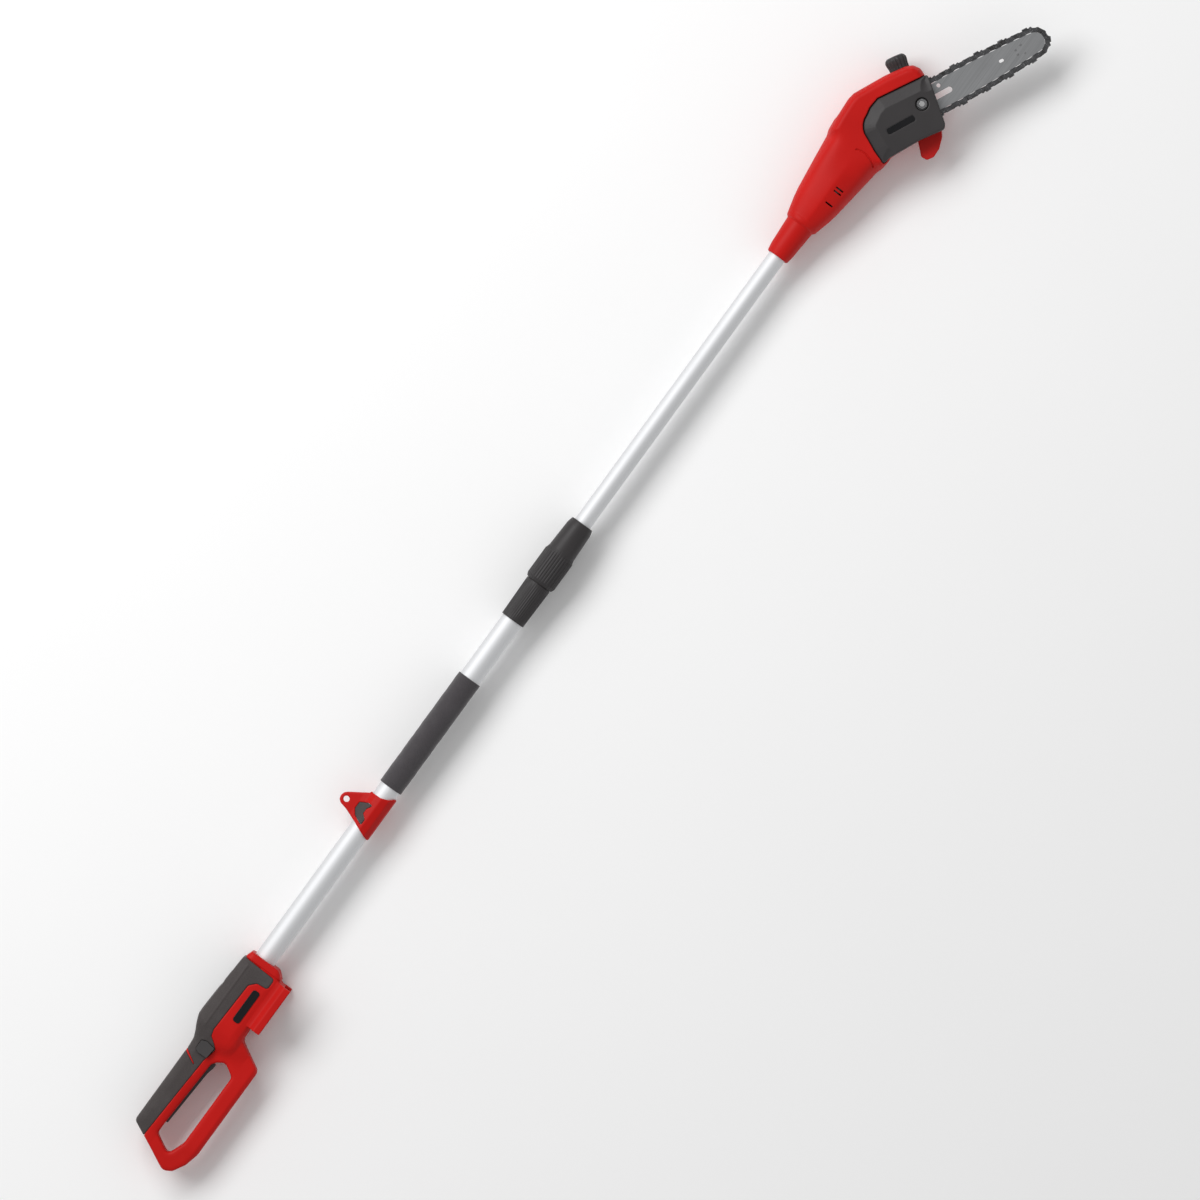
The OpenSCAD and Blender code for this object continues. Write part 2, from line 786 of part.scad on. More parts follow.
// A toothed cone about Z with its tip at the origin and its back at hub_z
module bevel(teeth, cone, hub_r, hub_z, bore) {
    tip = cone + atan(tooth_module / cone_length);
    tip_length = cone_length / cos(tip - cone);
    inner = 2 / 3;
    outer_point = tip_length * [sin(tip), cos(tip)];
    back_point = outer_point + 3.6 * tooth_module * [-cos(cone), sin(cone)];
    difference() {
        union() {
            difference() {
                rotate_extrude() polygon([
                    [0, inner * outer_point[1] + 0.4 * sin(cone)], inner * outer_point, outer_point,
                    back_point, [0, back_point[1]]
                ]);
                for (i = [0:teeth - 1]) rotate([0, 0, 360 * i / teeth]) tooth_gap(teeth, cone);
            }
            translate([0, 0, back_point[1] - 1]) cylinder(h = hub_z - back_point[1] + 1, r = hub_r);
        }
        translate([0, 0, -5]) cylinder(h = hub_z + 10, r = bore);
    }
}

module bevel_gear() {
    color("dimgray") at_shaft() mirror([0, 0, 1]) rotate([0, 0, 180])
        bevel(gear_teeth, gear_cone, 9, 16.5, 5);
}

module pinion() {
    color("dimgray") at_shaft() rotate([180 / pinion_teeth, 0, 0]) rotate([0, -90, 0])
        bevel(pinion_teeth, 90 - gear_cone, 5.5, 34, 2.5);
}

module sprocket_shaft() {
    color("silver") at_shaft() difference() {
        translate([0, 0, -23.3]) cylinder(h = 51.3, r = 5);
        difference() {
            translate([0, 0, 26.2]) cylinder(h = 0.9, r = 6);
            translate([0, 0, 26]) cylinder(h = 1.3, r = 4.2);
        }
    }
}

module bearing(outer_r, bore, z0, z1) {
    translate([0, 0, z0]) difference() {
        cylinder(h = z1 - z0, r = outer_r);
        translate([0, 0, -1]) cylinder(h = z1 - z0 + 2, r = bore);
    }
}

module bearings() {
    color("silver") {
        at_shaft() bearing(9.5, 5 + run_gap, -23.5, -17.5);
        at_shaft() bearing(11, 5 + run_gap, 5, 11);
        in_head() translate([0, motor_y, 0]) {
            ring_x(motor_x[1], motor_x[1] + 4, 6, 2.5 + run_gap);
            ring_x(motor_x[0] - 16, motor_x[0] - 13, 6, 2.5 + run_gap);
        }
    }
}

chamber_r = 27.5;

module gear_housing() {
    color("lightgray") at_shaft() difference() {
        union() {
            translate([0, 0, -26]) cylinder(h = 38, r = chamber_r + 2.5);
            translate([motor_x[1] + 5 - sprocket_at[0], -13, -13]) cube([50, 26, 25]);
        }
        translate([0, 0, -17.2]) cylinder(h = 21.2, r = chamber_r);
        translate([motor_x[1] + 9 - sprocket_at[0], -10.5, -10.5]) cube([36.5, 21, 21]);
        translate([-60, 0, 0]) rotate([0, 90, 0]) cylinder(h = 30, r = 4);
        translate([0, 0, -23.5]) cylinder(h = 40, r = 5.6);
        translate([0, 0, -23.5]) cylinder(h = 6, r = 9.5);
        translate([0, 0, 5]) cylinder(h = 6, r = 11);
    }
}

// Two rims that the tie straps run on, over a hub; the drive links' tangs pass between the rims
module drive_sprocket() {
    color("dimgray") at_shaft() translate([0, 0, bar_z]) difference() {
        union() {
            translate([0, 0, -4.5]) cylinder(h = 9, r = 8.3);
            for (z = [-4.5, 0.95]) translate([0, 0, z]) cylinder(h = 3.55, r = 14);
        }
        for (i = [0:5]) rotate([0, 0, 60 * i]) translate([14.6, 0, -6]) cylinder(h = 12, r = 2.4);
        translate([0, 0, -6]) cylinder(h = 12, r = 5);
    }
}

module retaining_clip() {
    color("silver") at_shaft() translate([0, 0, 26.25]) difference() {
        cylinder(h = 0.8, r = 7);
        translate([0, 0, -1]) cylinder(h = 3, r = 4.25);
        translate([0, -2.6, -1]) cube([10, 5.2, 3]);
    }
}

// ---------------------------------------------------------------- oil

tank_outline = [
    [270, 31], [296, 20], [322, 4.5], [328, -8], [325, -17], [297, -61], [286, -60], [268, -50]
];

module oil_tank() {
    color([0.85, 0.85, 0.8]) in_head() difference() {
        union() {
            translate([0, 0, -26]) linear_extrude(32) round_corners(3) polygon(tank_outline);
            at_cap() translate([0, 0, -12]) cylinder(h = 18, r = tank_mouth_r);
        }
        translate([0, 0, -24]) linear_extrude(28) offset(delta = -2) polygon(tank_outline);
        at_cap() translate([0, 0, -14]) cylinder(h = 30, r = 9.7);
    }
}

module oil_cap() {
    color([0.13, 0.13, 0.13]) in_head() at_cap() difference() {
        union() {
            cylinder(h = cap_height - 3, r = cap_r);
            translate([0, 0, cap_height - 3]) cylinder(h = 3, r1 = cap_r, r2 = cap_r - 2.5);
            for (i = [0:17]) rotate([0, 0, 20 * i]) translate([cap_r, 0, 0])
                cylinder(h = cap_height - 3.5, r = cap_rib_r);
        }
        difference() {
            translate([0, 0, -1]) cylinder(h = 8.6, r = tank_mouth_r + move_gap);
            translate([0, 0, 3]) cylinder(h = 6, r = 9.3);
        }
    }
}

module cap_gasket() {
    color([0.1, 0.1, 0.1]) in_head() at_cap() translate([0, 0, 6.2]) difference() {
        cylinder(h = 1.4, r = tank_mouth_r);
        translate([0, 0, -1]) cylinder(h = 4, r = 9.4);
    }
}

module oil_pump() {
    color([0.8, 0.8, 0.8]) in_head() translate([0, -50.5, -8]) ring_x(238, 262, 6);
}

module oil_hoses() {
    color([0.75, 0.7, 0.5]) in_head() {
        wire([[262, -47.5, -8], [268, -47.5, -8]], 1.8);
        wire([
            [256, -47.88, -2.55], [256, -46.2, 0.9], [258, -41, 6], [259, -38.5, 11],
            [259, -38.5, 14.8]
        ], 1.8, [1, 0, 0]);
    }
}

// ---------------------------------------------------------------- bar and chain

bar_reach = 247.3;
sag = rail_half - wrap_r;
rail_drop = (pow(bar_reach / 2, 2) - sag * sag) / (2 * sag);
rail_r = rail_half + rail_drop;
rail_lean = asin(bar_reach / 2 / (rail_r - wrap_r));
rail_arc = rail_r * rail_lean * 2 * 3.14159265 / 180;
wrap_arc = wrap_r * (180 - 2 * rail_lean) * 3.14159265 / 180;
loop_length = 2 * (rail_arc + wrap_arc);
rivets = 2 * drive_links;

// A point a given way round the rivet line: over the top to the nose, and back underneath
function loop_point(s) =
    s < rail_arc
        ? [bar_reach / 2, -rail_drop] + rail_r * turned(90 + rail_lean * (1 - 2 * s / rail_arc))
    : s < rail_arc + wrap_arc
        ? [bar_reach, 0] + wrap_r * turned((90 - rail_lean) * (1 - 2 * (s - rail_arc) / wrap_arc))
    : s < 2 * rail_arc + wrap_arc
        ? [bar_reach / 2, rail_drop]
            + rail_r * turned(-90 + rail_lean * (1 - 2 * (s - rail_arc - wrap_arc) / rail_arc))
    : wrap_r * turned(270 - rail_lean - (180 - 2 * rail_lean)
            * (s - 2 * rail_arc - wrap_arc) / wrap_arc);

function turned(a) = [cos(a), sin(a)];

function rivet_point(i) = loop_point(((i + 0.5) % rivets) * loop_length / rivets);

// Puts a link between two neighbouring rivets: X runs along the chain, Y points outwards
module at_link(i) {
    a = rivet_point(i);
    b = rivet_point(i + 1);
    translate((a + b) / 2) rotate(atan2(b[1] - a[1], b[0] - a[0])) children();
}

link_half = rivet_pitch / 2;
rivet_r = 1.6;
plate_gap = 0.7;
plate_thick = 1.25;
strap_inner = 3.2;

module rivet_holes() {
    for (s = [-1, 1]) translate([s * link_half, 0]) circle(r = rivet_r + 0.1, $fn = 24);
}

module strap_shape() {
    difference() {
        union() {
            for (s = [-1, 1]) translate([s * link_half, 0]) circle(r = 3.7, $fn = 24);
            translate([-link_half, -strap_inner]) square([2 * link_half, strap_inner + 3.5]);
        }
        rivet_holes();
    }
}

module drive_shape() {
    difference() {
        union() {
            for (s = [-1, 1]) translate([s * link_half, 0]) circle(r = 3.5, $fn = 24);
            polygon([
                [-link_half, 3], [-link_half, -3], [-1.5, -8.2], [0.8, -9], [2.2, -8.6],
                [3.4, -5], [link_half, -3], [link_half, 3]
            ]);
        }
        rivet_holes();
    }
}

// Depth gauge in front, gullet, and the cutter's side plate behind it
module cutter_shape() {
    difference() {
        union() {
            strap_shape();
            polygon([
                [-7.6, 1], [-7.4, 5.2], [0.6, 5.2], [1.6, 2.4], [3, 2.6], [3.8, 4.6], [6.6, 4.4],
                [7.6, 0], [2, -2], [-6, -2]
            ]);
        }
        rivet_holes();
    }
}

module link_plate(side) {
    translate([0, 0, bar_z + (side > 0 ? plate_gap : -plate_gap - plate_thick)])
        linear_extrude(plate_thick) children();
}

function is_cutter(k, side) = k % 2 == 0 && side == (k % 4 == 0 ? 1 : -1);

module chain_drive_links() {
    color([0.35, 0.35, 0.36]) at_bar() translate([0, 0, bar_z - 0.63]) linear_extrude(1.26)
        for (k = [0:drive_links - 1]) at_link(2 * k) drive_shape();
}

module chain_tie_straps() {
    color([0.4, 0.4, 0.42]) at_bar() for (side = [-1, 1]) link_plate(side)
        for (k = [0:drive_links - 1]) if (!is_cutter(k, side)) at_link(2 * k + 1) strap_shape();
}

module chain_cutters() {
    color([0.3, 0.3, 0.31]) at_bar() for (side = [-1, 1]) {
        link_plate(side) for (k = [0:drive_links - 1])
            if (is_cutter(k, side)) at_link(2 * k + 1) cutter_shape();
        translate([0, 0, bar_z + (side > 0 ? plate_gap : -plate_gap - 3.1)]) linear_extrude(3.1)
            for (k = [0:drive_links - 1]) if (is_cutter(k, side)) at_link(2 * k + 1)
                polygon([[-7.4, 5.2], [-7.2, 4.1], [0.4, 4.4], [0.8, 5.6]]);
    }
}

module chain_rivets() {
    color("silver") at_bar() translate([0, 0, bar_z - 2.3]) for (i = [0:rivets - 1])
        translate(rivet_point(i)) cylinder(h = 4.6, r = rivet_r, $fn = 24);
}

rail_gap = 4.1;
groove_deep = 6.6;
bar_tail_x = 27.5;

// The rail's outline, set in from the rivet line
module rail_shape(inset) {
    offset(delta = -inset) polygon([for (i = [0:119]) loop_point(i * loop_length / 120)]);
}

slot_x = [45, 109];
slot_half = 4.15;
tension_hole = [52, -8.6];
tension_peg_r = 2.2;
nose_pin_r = 3;

module guide_bar() {
    color([0.62, 0.63, 0.65]) at_bar() translate([0, 0, bar_z]) difference() {
        linear_extrude(bar_thick, center = true) difference() {
            intersection() {
                rail_shape(rail_gap);
                polygon([
                    [bar_tail_x, -11], [bar_tail_x + 14, -30], [300, -30], [300, 30],
                    [bar_tail_x + 14, 30], [bar_tail_x, 11]
                ]);
            }
            for (x = slot_x) translate([x, 0]) circle(r = slot_half);
            translate([slot_x[0], -slot_half]) square([slot_x[1] - slot_x[0], 2 * slot_half]);
            for (s = [-1, 1]) translate([tension_hole[0], s * tension_hole[1]])
                circle(r = tension_peg_r + run_gap);
            translate([98, 12.6]) circle(r = 3);
            for (s = [-1, 1]) translate([193 + s * 1.5, 0]) circle(r = 2.2);
            translate([191.5, -2.2]) square([3, 4.4]);
        }
        difference() {
            translate([0, 0, -0.8]) linear_extrude(1.6) difference() {
                polygon([[0, -40], [300, -40], [300, 40], [0, 40]]);
                rail_shape(rail_gap + groove_deep);
            }
        }
        difference() {
            translate([bar_reach, 0, -0.8]) cylinder(h = 1.6, r = 8.9);
            translate([bar_reach, 0, -1]) cylinder(h = 2, r = nose_pin_r);
        }
    }
}

nose_teeth = 6;

module nose_sprocket() {
    color("dimgray") at_bar() translate([bar_reach, 0, bar_z - 0.6]) difference() {
        cylinder(h = 1.2, r = 8.2);
        for (i = [0:nose_teeth - 1]) rotate([0, 0, 360 * i / nose_teeth])
            translate([9.4, 0, -1]) cylinder(h = 4, r = 2.6);
        translate([0, 0, -1]) cylinder(h = 4, r = nose_pin_r + run_gap);
    }
}

module bar_stud() {
    color("silver") at_bar() translate([stud_x, 0, 0]) {
        translate([0, 0, 7.5]) cylinder(h = 4.5, r = 6.5, $fn = 6);
        translate([0, 0, 12]) cylinder(h = 30, r = 3.9);
    }
}

module tension_block() {
    color("silver") at_bar() {
        difference() {
            translate([tension_hole[0] - 4.5, -16.4, 13.4]) cube([9, 10.2, 5.7]);
            translate([30, screw_axis[1], screw_axis[2]])
                rotate([0, 90, 0]) cylinder(h = 60, r = 2 + run_gap);
        }
        translate([tension_hole[0], tension_hole[1], 19]) cylinder(h = 4.3, r = tension_peg_r);
    }
}

module tension_screw() {
    color("silver") at_bar() translate([0, screw_axis[1], screw_axis[2]]) {
        ring_x(41, bar_pad_x[1], 2);
        difference() {
            ring_x(bar_pad_x[1] + 0.2, bar_pad_x[1] + 3.4, 3);
            translate([bar_pad_x[1] + 2.2, -4, -0.5]) cube([3, 8, 1]);
        }
        ring_x(bar_pad_x[1] - 0.2, bar_pad_x[1] + 0.4, 2);
    }
}

cover_top = 40;
cover_wall = 2.2;

nut_seat_z = 34;
nut_flange_r = 8.2;

module nut_pocket() {
    translate([stud_x, 0, nut_seat_z]) cylinder(h = 20, r = nut_flange_r + 1.2);
}

module sprocket_cover() {
    color([0.25, 0.25, 0.25]) difference() {
        union() {
            in_head() difference() {
                union() {
                    cover_prism(0, pocket_z + 0.3, cover_top - 3);
                    hull() {
                        cover_prism(0, cover_top - 3.1, cover_top - 3);
                        cover_prism(-3, cover_top - 0.1, cover_top);
                    }
                }
                cover_prism(-cover_wall, pocket_z, cover_top - 5);
            }
            at_bar() translate([stud_x, 0, bar_z + bar_thick / 2 + 0.1]) cylinder(h = 14, r = 13);
        }
        at_bar() nut_pocket();
        at_bar() translate([stud_x, 0, 0]) cylinder(h = 60, r = 4.3);
        at_bar() translate([30, -31, 10]) cube([90, 62, 18.4]);
        in_head() translate([0, 0, cover_top - 0.6]) badge_outline(0);
    }
}

module badge_outline(inset) {
    translate([252, -32]) rotate(-bar_tilt) linear_extrude(2)
        offset(delta = -inset) round_corners(3.5) square([44, 9.5], center = true);
}

module head_badge() {
    color([0.1, 0.1, 0.1]) in_head() translate([0, 0, cover_top - 0.6]) intersection() {
        badge_outline(0.3);
        translate([200, -80, 0]) cube([120, 120, 1]);
    }
}

module cover_nut() {
    color("dimgray") at_bar() translate([stud_x, 0, nut_seat_z + 0.1]) difference() {
        union() {
            cylinder(h = 1.6, r = nut_flange_r);
            cylinder(h = 7, r = 7.5, $fn = 6);
        }
        translate([0, 0, -1]) cylinder(h = 10, r = 3.9 + run_gap);
    }
}

handle_shell_left();
handle_shell_right();
grip_rubber_left();
grip_rubber_right();
handle_screws();
handle_badges();
battery_dock();
contact_blades();
switch_body();
switch_plunger();
trigger();
trigger_pin();
trigger_spring();
lock_off_button();
lock_off_spring();
switch_leads();
lower_tube();
foam_grip();
sling_bracket_left();
sling_bracket_right();
sling_insert();
sling_bolt();
lock_sleeve();
lock_nut();
collet();
coiled_cable();
upper_tube();
tube_guide();
head_lead();
head_shell_left();
head_shell_right();
head_screws();
head_badge();
motor_can();
motor_end_bell();
armature();
pinion();
bearings();
gear_housing();
bevel_gear();
sprocket_shaft();
drive_sprocket();
retaining_clip();
oil_tank();
oil_cap();
cap_gasket();
oil_pump();
oil_hoses();
bar_stud();
sprocket_cover();
cover_nut();
guide_bar();
nose_sprocket();
tension_block();
tension_screw();
chain_drive_links();
chain_tie_straps();
chain_cutters();
chain_rivets();
branch_hook();
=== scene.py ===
"""Looks for the telescoping pole saw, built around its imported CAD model."""

import json
import math

import bmesh
import bpy
import numpy as np
from mathutils import Matrix, Vector


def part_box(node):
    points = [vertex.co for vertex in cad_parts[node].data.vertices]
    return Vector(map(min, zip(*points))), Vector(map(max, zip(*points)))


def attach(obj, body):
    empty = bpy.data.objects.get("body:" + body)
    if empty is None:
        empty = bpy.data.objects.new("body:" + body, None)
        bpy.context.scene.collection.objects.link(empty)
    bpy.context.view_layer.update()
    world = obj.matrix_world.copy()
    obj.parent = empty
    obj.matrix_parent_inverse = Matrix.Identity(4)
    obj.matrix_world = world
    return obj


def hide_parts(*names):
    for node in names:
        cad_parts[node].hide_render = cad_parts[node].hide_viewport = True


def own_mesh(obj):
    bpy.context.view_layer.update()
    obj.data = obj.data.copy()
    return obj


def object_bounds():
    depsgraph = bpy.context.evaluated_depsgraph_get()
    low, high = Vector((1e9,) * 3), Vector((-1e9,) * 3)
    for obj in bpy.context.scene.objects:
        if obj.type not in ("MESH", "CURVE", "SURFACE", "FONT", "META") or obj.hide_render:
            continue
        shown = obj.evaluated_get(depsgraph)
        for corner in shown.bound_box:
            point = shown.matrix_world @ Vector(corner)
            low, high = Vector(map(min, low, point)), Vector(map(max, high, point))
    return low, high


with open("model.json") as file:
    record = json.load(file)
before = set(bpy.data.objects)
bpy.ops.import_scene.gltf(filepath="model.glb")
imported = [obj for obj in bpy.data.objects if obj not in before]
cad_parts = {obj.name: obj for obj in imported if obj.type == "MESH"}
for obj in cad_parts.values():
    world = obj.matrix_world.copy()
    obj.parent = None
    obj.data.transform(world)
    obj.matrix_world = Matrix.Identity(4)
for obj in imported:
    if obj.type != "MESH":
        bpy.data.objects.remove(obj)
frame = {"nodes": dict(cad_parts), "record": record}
cad_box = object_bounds()

# ---------------------------------------------------------------- places, from the frame

MM = 0.001
BODY_OF = {
    node: body
    for body, members in frame["record"]["behaviour"]["bodies"].items()
    for node in members
}


def middle_of(node):
    low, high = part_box(node)
    return (low + high) / 2


TUBE_START = 214  # mm from the rear of the handle to the rear end of the lower tube
NECK_DEPTH = 50  # mm that the upper tube reaches into the saw head
POLE = middle_of("lower_tube")
HANDLE_ORIGIN = Vector((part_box("lower_tube")[0].x - TUBE_START * MM, POLE.y, POLE.z))
HEAD_ORIGIN = Vector((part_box("upper_tube")[1].x - NECK_DEPTH * MM, POLE.y, POLE.z))
SHAFT = middle_of("sprocket_shaft")
NOSE = middle_of("nose_sprocket")
BAR_ANGLE = math.atan2(NOSE.y - SHAFT.y, NOSE.x - SHAFT.x)
BAR_REACH = math.hypot(NOSE.y - SHAFT.y, NOSE.x - SHAFT.x) / MM
BAR_ORIGIN = Vector((SHAFT.x, SHAFT.y, NOSE.z))
SCALE = Matrix.Scale(MM, 4)
AT_HANDLE = Matrix.Translation(HANDLE_ORIGIN) @ SCALE
AT_HEAD = Matrix.Translation(HEAD_ORIGIN) @ SCALE
AT_BAR = Matrix.Translation(BAR_ORIGIN) @ Matrix.Rotation(BAR_ANGLE, 4, "Z") @ SCALE
SHAFT_IN_HEAD = (SHAFT - HEAD_ORIGIN) / MM

# ---------------------------------------------------------------- materials


class Shader:
    """A material's node tree, with short calls for the nodes used here."""

    def __init__(self, name, **sockets):
        self.material = bpy.data.materials.new(name)
        self.material.use_nodes = True
        self.tree = self.material.node_tree
        self.surface = self.tree.nodes["Principled BSDF"]
        self.place = self.add("ShaderNodeTexCoord").outputs["Object"]
        for socket, value in sockets.items():
            self.surface.inputs[socket.replace("_", " ")].default_value = value

    def add(self, kind, **settings):
        node = self.tree.nodes.new(kind)
        for key, value in settings.items():
            setattr(node, key, value)
        return node

    def join(self, source, target):
        self.tree.links.new(source, target)

    def stretched(self, scale, turn):
        """The place on the piece, turned about Z and scaled along each axis."""
        node = self.add("ShaderNodeMapping")
        node.inputs["Rotation"].default_value = (0, 0, turn)
        node.inputs["Scale"].default_value = scale
        self.join(self.place, node.inputs["Vector"])
        return node.outputs["Vector"]

    def noise(self, scale, detail=3.0, place=None, rough=0.5):
        node = self.add("ShaderNodeTexNoise")
        node.inputs["Scale"].default_value = scale
        node.inputs["Detail"].default_value = detail
        node.inputs["Roughness"].default_value = rough
        self.join(place or self.place, node.inputs["Vector"])
        return node.outputs["Fac"]

    def cells(self, scale):
        node = self.add("ShaderNodeTexVoronoi")
        node.inputs["Scale"].default_value = scale
        self.join(self.place, node.inputs["Vector"])
        return node.outputs["Distance"]

    def remap(self, value, low, high, to_low=0.0, to_high=1.0):
        """The value, with low to high turned into to_low to to_high and kept inside them."""
        node = self.add("ShaderNodeMapRange")
        ends = {"From Min": low, "From Max": high, "To Min": to_low, "To Max": to_high}
        for socket, number in ends.items():
            node.inputs[socket].default_value = number
        self.join(value, node.inputs["Value"])
        return node.outputs["Result"]

    def sum(self, first, second, share):
        """first plus a share of second."""
        node = self.add("ShaderNodeMath", operation="MULTIPLY_ADD")
        self.join(second, node.inputs[0])
        node.inputs[1].default_value = share
        self.join(first, node.inputs[2])
        return node.outputs[0]

    def edges(self, low=0.52, high=0.6):
        """1 on worn outer edges, and 0 elsewhere."""
        return self.remap(self.add("ShaderNodeNewGeometry").outputs["Pointiness"], low, high)

    def tinted(self, factor, first, second):
        """The first colour where factor is 0, and the second where it is 1."""
        node = self.add("ShaderNodeMix", data_type="RGBA")
        self.join(factor, node.inputs["Factor"])
        for socket, colour in zip(("A", "B"), (first, second)):
            target = next(s for s in node.inputs if s.name == socket and s.type == "RGBA")
            if isinstance(colour, bpy.types.NodeSocket):
                self.join(colour, target)
            else:
                target.default_value = (*colour, 1)
        return next(s for s in node.outputs if s.type == "RGBA")

    def paint(self, colour):
        self.join(colour, self.surface.inputs["Base Color"])

    def roughen(self, value):
        self.join(value, self.surface.inputs["Roughness"])

    def bump(self, height, depth_mm):
        node = self.add("ShaderNodeBump")
        node.inputs["Strength"].default_value = 1.0
        node.inputs["Distance"].default_value = depth_mm * MM
        self.join(height, node.inputs["Height"])
        self.join(node.outputs["Normal"], self.surface.inputs["Normal"])


def shaded(colour, share):
    return tuple(c * share for c in colour)


def moulded(
    name, colour, grain_mm, depth_mm, rough=(0.34, 0.5), scuff=None, specular=0.25, **sockets
):
    """Injection-moulded plastic: spark texture, slow colour drift, faint scuffs, rubbed edges."""
    shader = Shader(name, Specular_IOR_Level=specular, **sockets)
    slow = shader.noise(14, 2)
    fine = shader.cells(1 / (grain_mm * MM))
    finer = shader.noise(2.2 / (grain_mm * MM), 2)
    scratches = shader.noise(55, 4, shader.stretched((0.5, 6, 3), 0.6), 0.7)
    drift = shader.tinted(
        shader.remap(slow, 0.3, 0.7), shaded(colour, 0.93), shaded(colour, 1.05))
    worn = scuff or tuple(0.75 * c + 0.06 for c in colour)
    scuffed = shader.tinted(shader.remap(scratches, 0.66, 0.78, 0, 0.35), drift, worn)
    shader.paint(shader.tinted(shader.edges(), scuffed, worn))
    shader.roughen(shader.remap(shader.sum(slow, scratches, 0.6), 0.5, 1.1, rough[0], rough[1]))
    shader.bump(shader.sum(fine, finer, 0.7), depth_mm)
    return shader.material


def rubber(name, colour, grain_mm=0.9, depth_mm=0.08):
    """Soft overmould: a matt, close stipple, with a dusty bloom in places."""
    shader = Shader(name, Specular_IOR_Level=0.35, Sheen_Weight=0.12, Sheen_Roughness=0.45)
    dots = shader.cells(1 / (grain_mm * MM))
    bloom = shader.noise(26, 5, rough=0.6)
    tone = shader.tinted(
        shader.remap(dots, 0.1, 0.6), shaded(colour, 1.12), shaded(colour, 0.78))
    dusty = tuple(c * 0.9 + 0.035 for c in colour)
    bloomed = shader.tinted(shader.remap(bloom, 0.52, 0.75, 0, 0.5), tone, dusty)
    shader.paint(shader.tinted(shader.edges(0.52, 0.62), bloomed, dusty))
    shader.roughen(shader.remap(bloom, 0.3, 0.7, 0.62, 0.8))
    shader.bump(dots, depth_mm)
    return shader.material


def foam(name, colour):
    """Closed-cell foam: shallow open pores on a matt skin, with painted shade that darkens each
    pore.
    """
    shader = Shader(name, Specular_IOR_Level=0.3, Sheen_Weight=0.3, Sheen_Roughness=0.5)
    pores = shader.cells(950)
    small = shader.cells(2100)
    pressed = shader.noise(38, 3)
    # painted shade: the colour falls to half at the pores, just where the bump sinks them
    shaded_pores = shader.tinted(
        shader.remap(pores, 0.04, 0.42), shaded(colour, 0.5), shaded(colour, 1.15))
    light = tuple(c * 1.25 + 0.01 for c in colour)
    shader.paint(shader.tinted(shader.remap(pressed, 0.5, 0.72, 0, 0.6), shaded_pores, light))
    shader.roughen(shader.remap(pressed, 0.3, 0.7, 0.72, 0.88))
    shader.bump(shader.sum(pores, small, 0.5), 0.22)
    return shader.material


def drawn_metal(
    name, colour, rough, streak=(3, 900, 900), turn=0.0, depth_mm=0.012, stain=0.85, edge=1.15
):
    """Metal with fine lines along one direction, such as a drawn tube or a ground bar."""
    shader = Shader(name, Metallic=1.0)
    lines = shader.noise(1.0, 3, shader.stretched(streak, turn))
    coarse = shader.noise(1.0, 2, shader.stretched(tuple(s / 6 for s in streak), turn))
    slow = shader.noise(9, 4, rough=0.65)
    toned = shader.tinted(
        shader.remap(lines, 0.3, 0.7), shaded(colour, 0.9), shaded(colour, 1.06))
    stained = shader.tinted(
        shader.remap(slow, 0.55, 0.8, 0, 0.6), toned, shaded(colour, stain))
    bright = tuple(min(0.95, c * edge) for c in colour)
    shader.paint(shader.tinted(shader.edges(0.53, 0.6), stained, bright) if edge > 1 else stained)
    shader.roughen(shader.remap(shader.sum(coarse, slow, 0.5), 0.4, 1.1, rough[0], rough[1]))
    shader.bump(shader.sum(lines, coarse, 0.5), depth_mm)
    return shader.material


OLD_OIL = (0.016, 0.013, 0.01)


def oiled_metal(name, colour, rough, edge):
    """Dark steel with a film of old oil in the hollows and rubbed edges of another colour."""
    shader = Shader(name, Metallic=1.0)
    grit = shader.noise(700, 4, rough=0.6)
    film = shader.noise(90, 4, rough=0.6)
    base = shader.tinted(
        shader.remap(grit, 0.3, 0.7), shaded(colour, 0.8), shaded(colour, 1.15))
    oily = shader.tinted(shader.remap(film, 0.48, 0.68, 0, 0.8), base, OLD_OIL)
    shader.paint(shader.tinted(shader.edges(0.52, 0.58), oily, edge))
    shader.roughen(shader.remap(film, 0.3, 0.7, rough[1], rough[0]))
    shader.bump(grit, 0.03)
    return shader.material


def cast(name, colour):
    """Die-cast metal with a sandy skin."""
    shader = Shader(name, Metallic=0.9)
    sand = shader.noise(1200, 3)
    slow = shader.noise(30, 3)
    shader.paint(shader.tinted(
        shader.remap(slow, 0.3, 0.7), shaded(colour, 0.85), shaded(colour, 1.05)))
    shader.roughen(shader.remap(sand, 0.3, 0.7, 0.42, 0.6))
    shader.bump(sand, 0.06)
    return shader.material


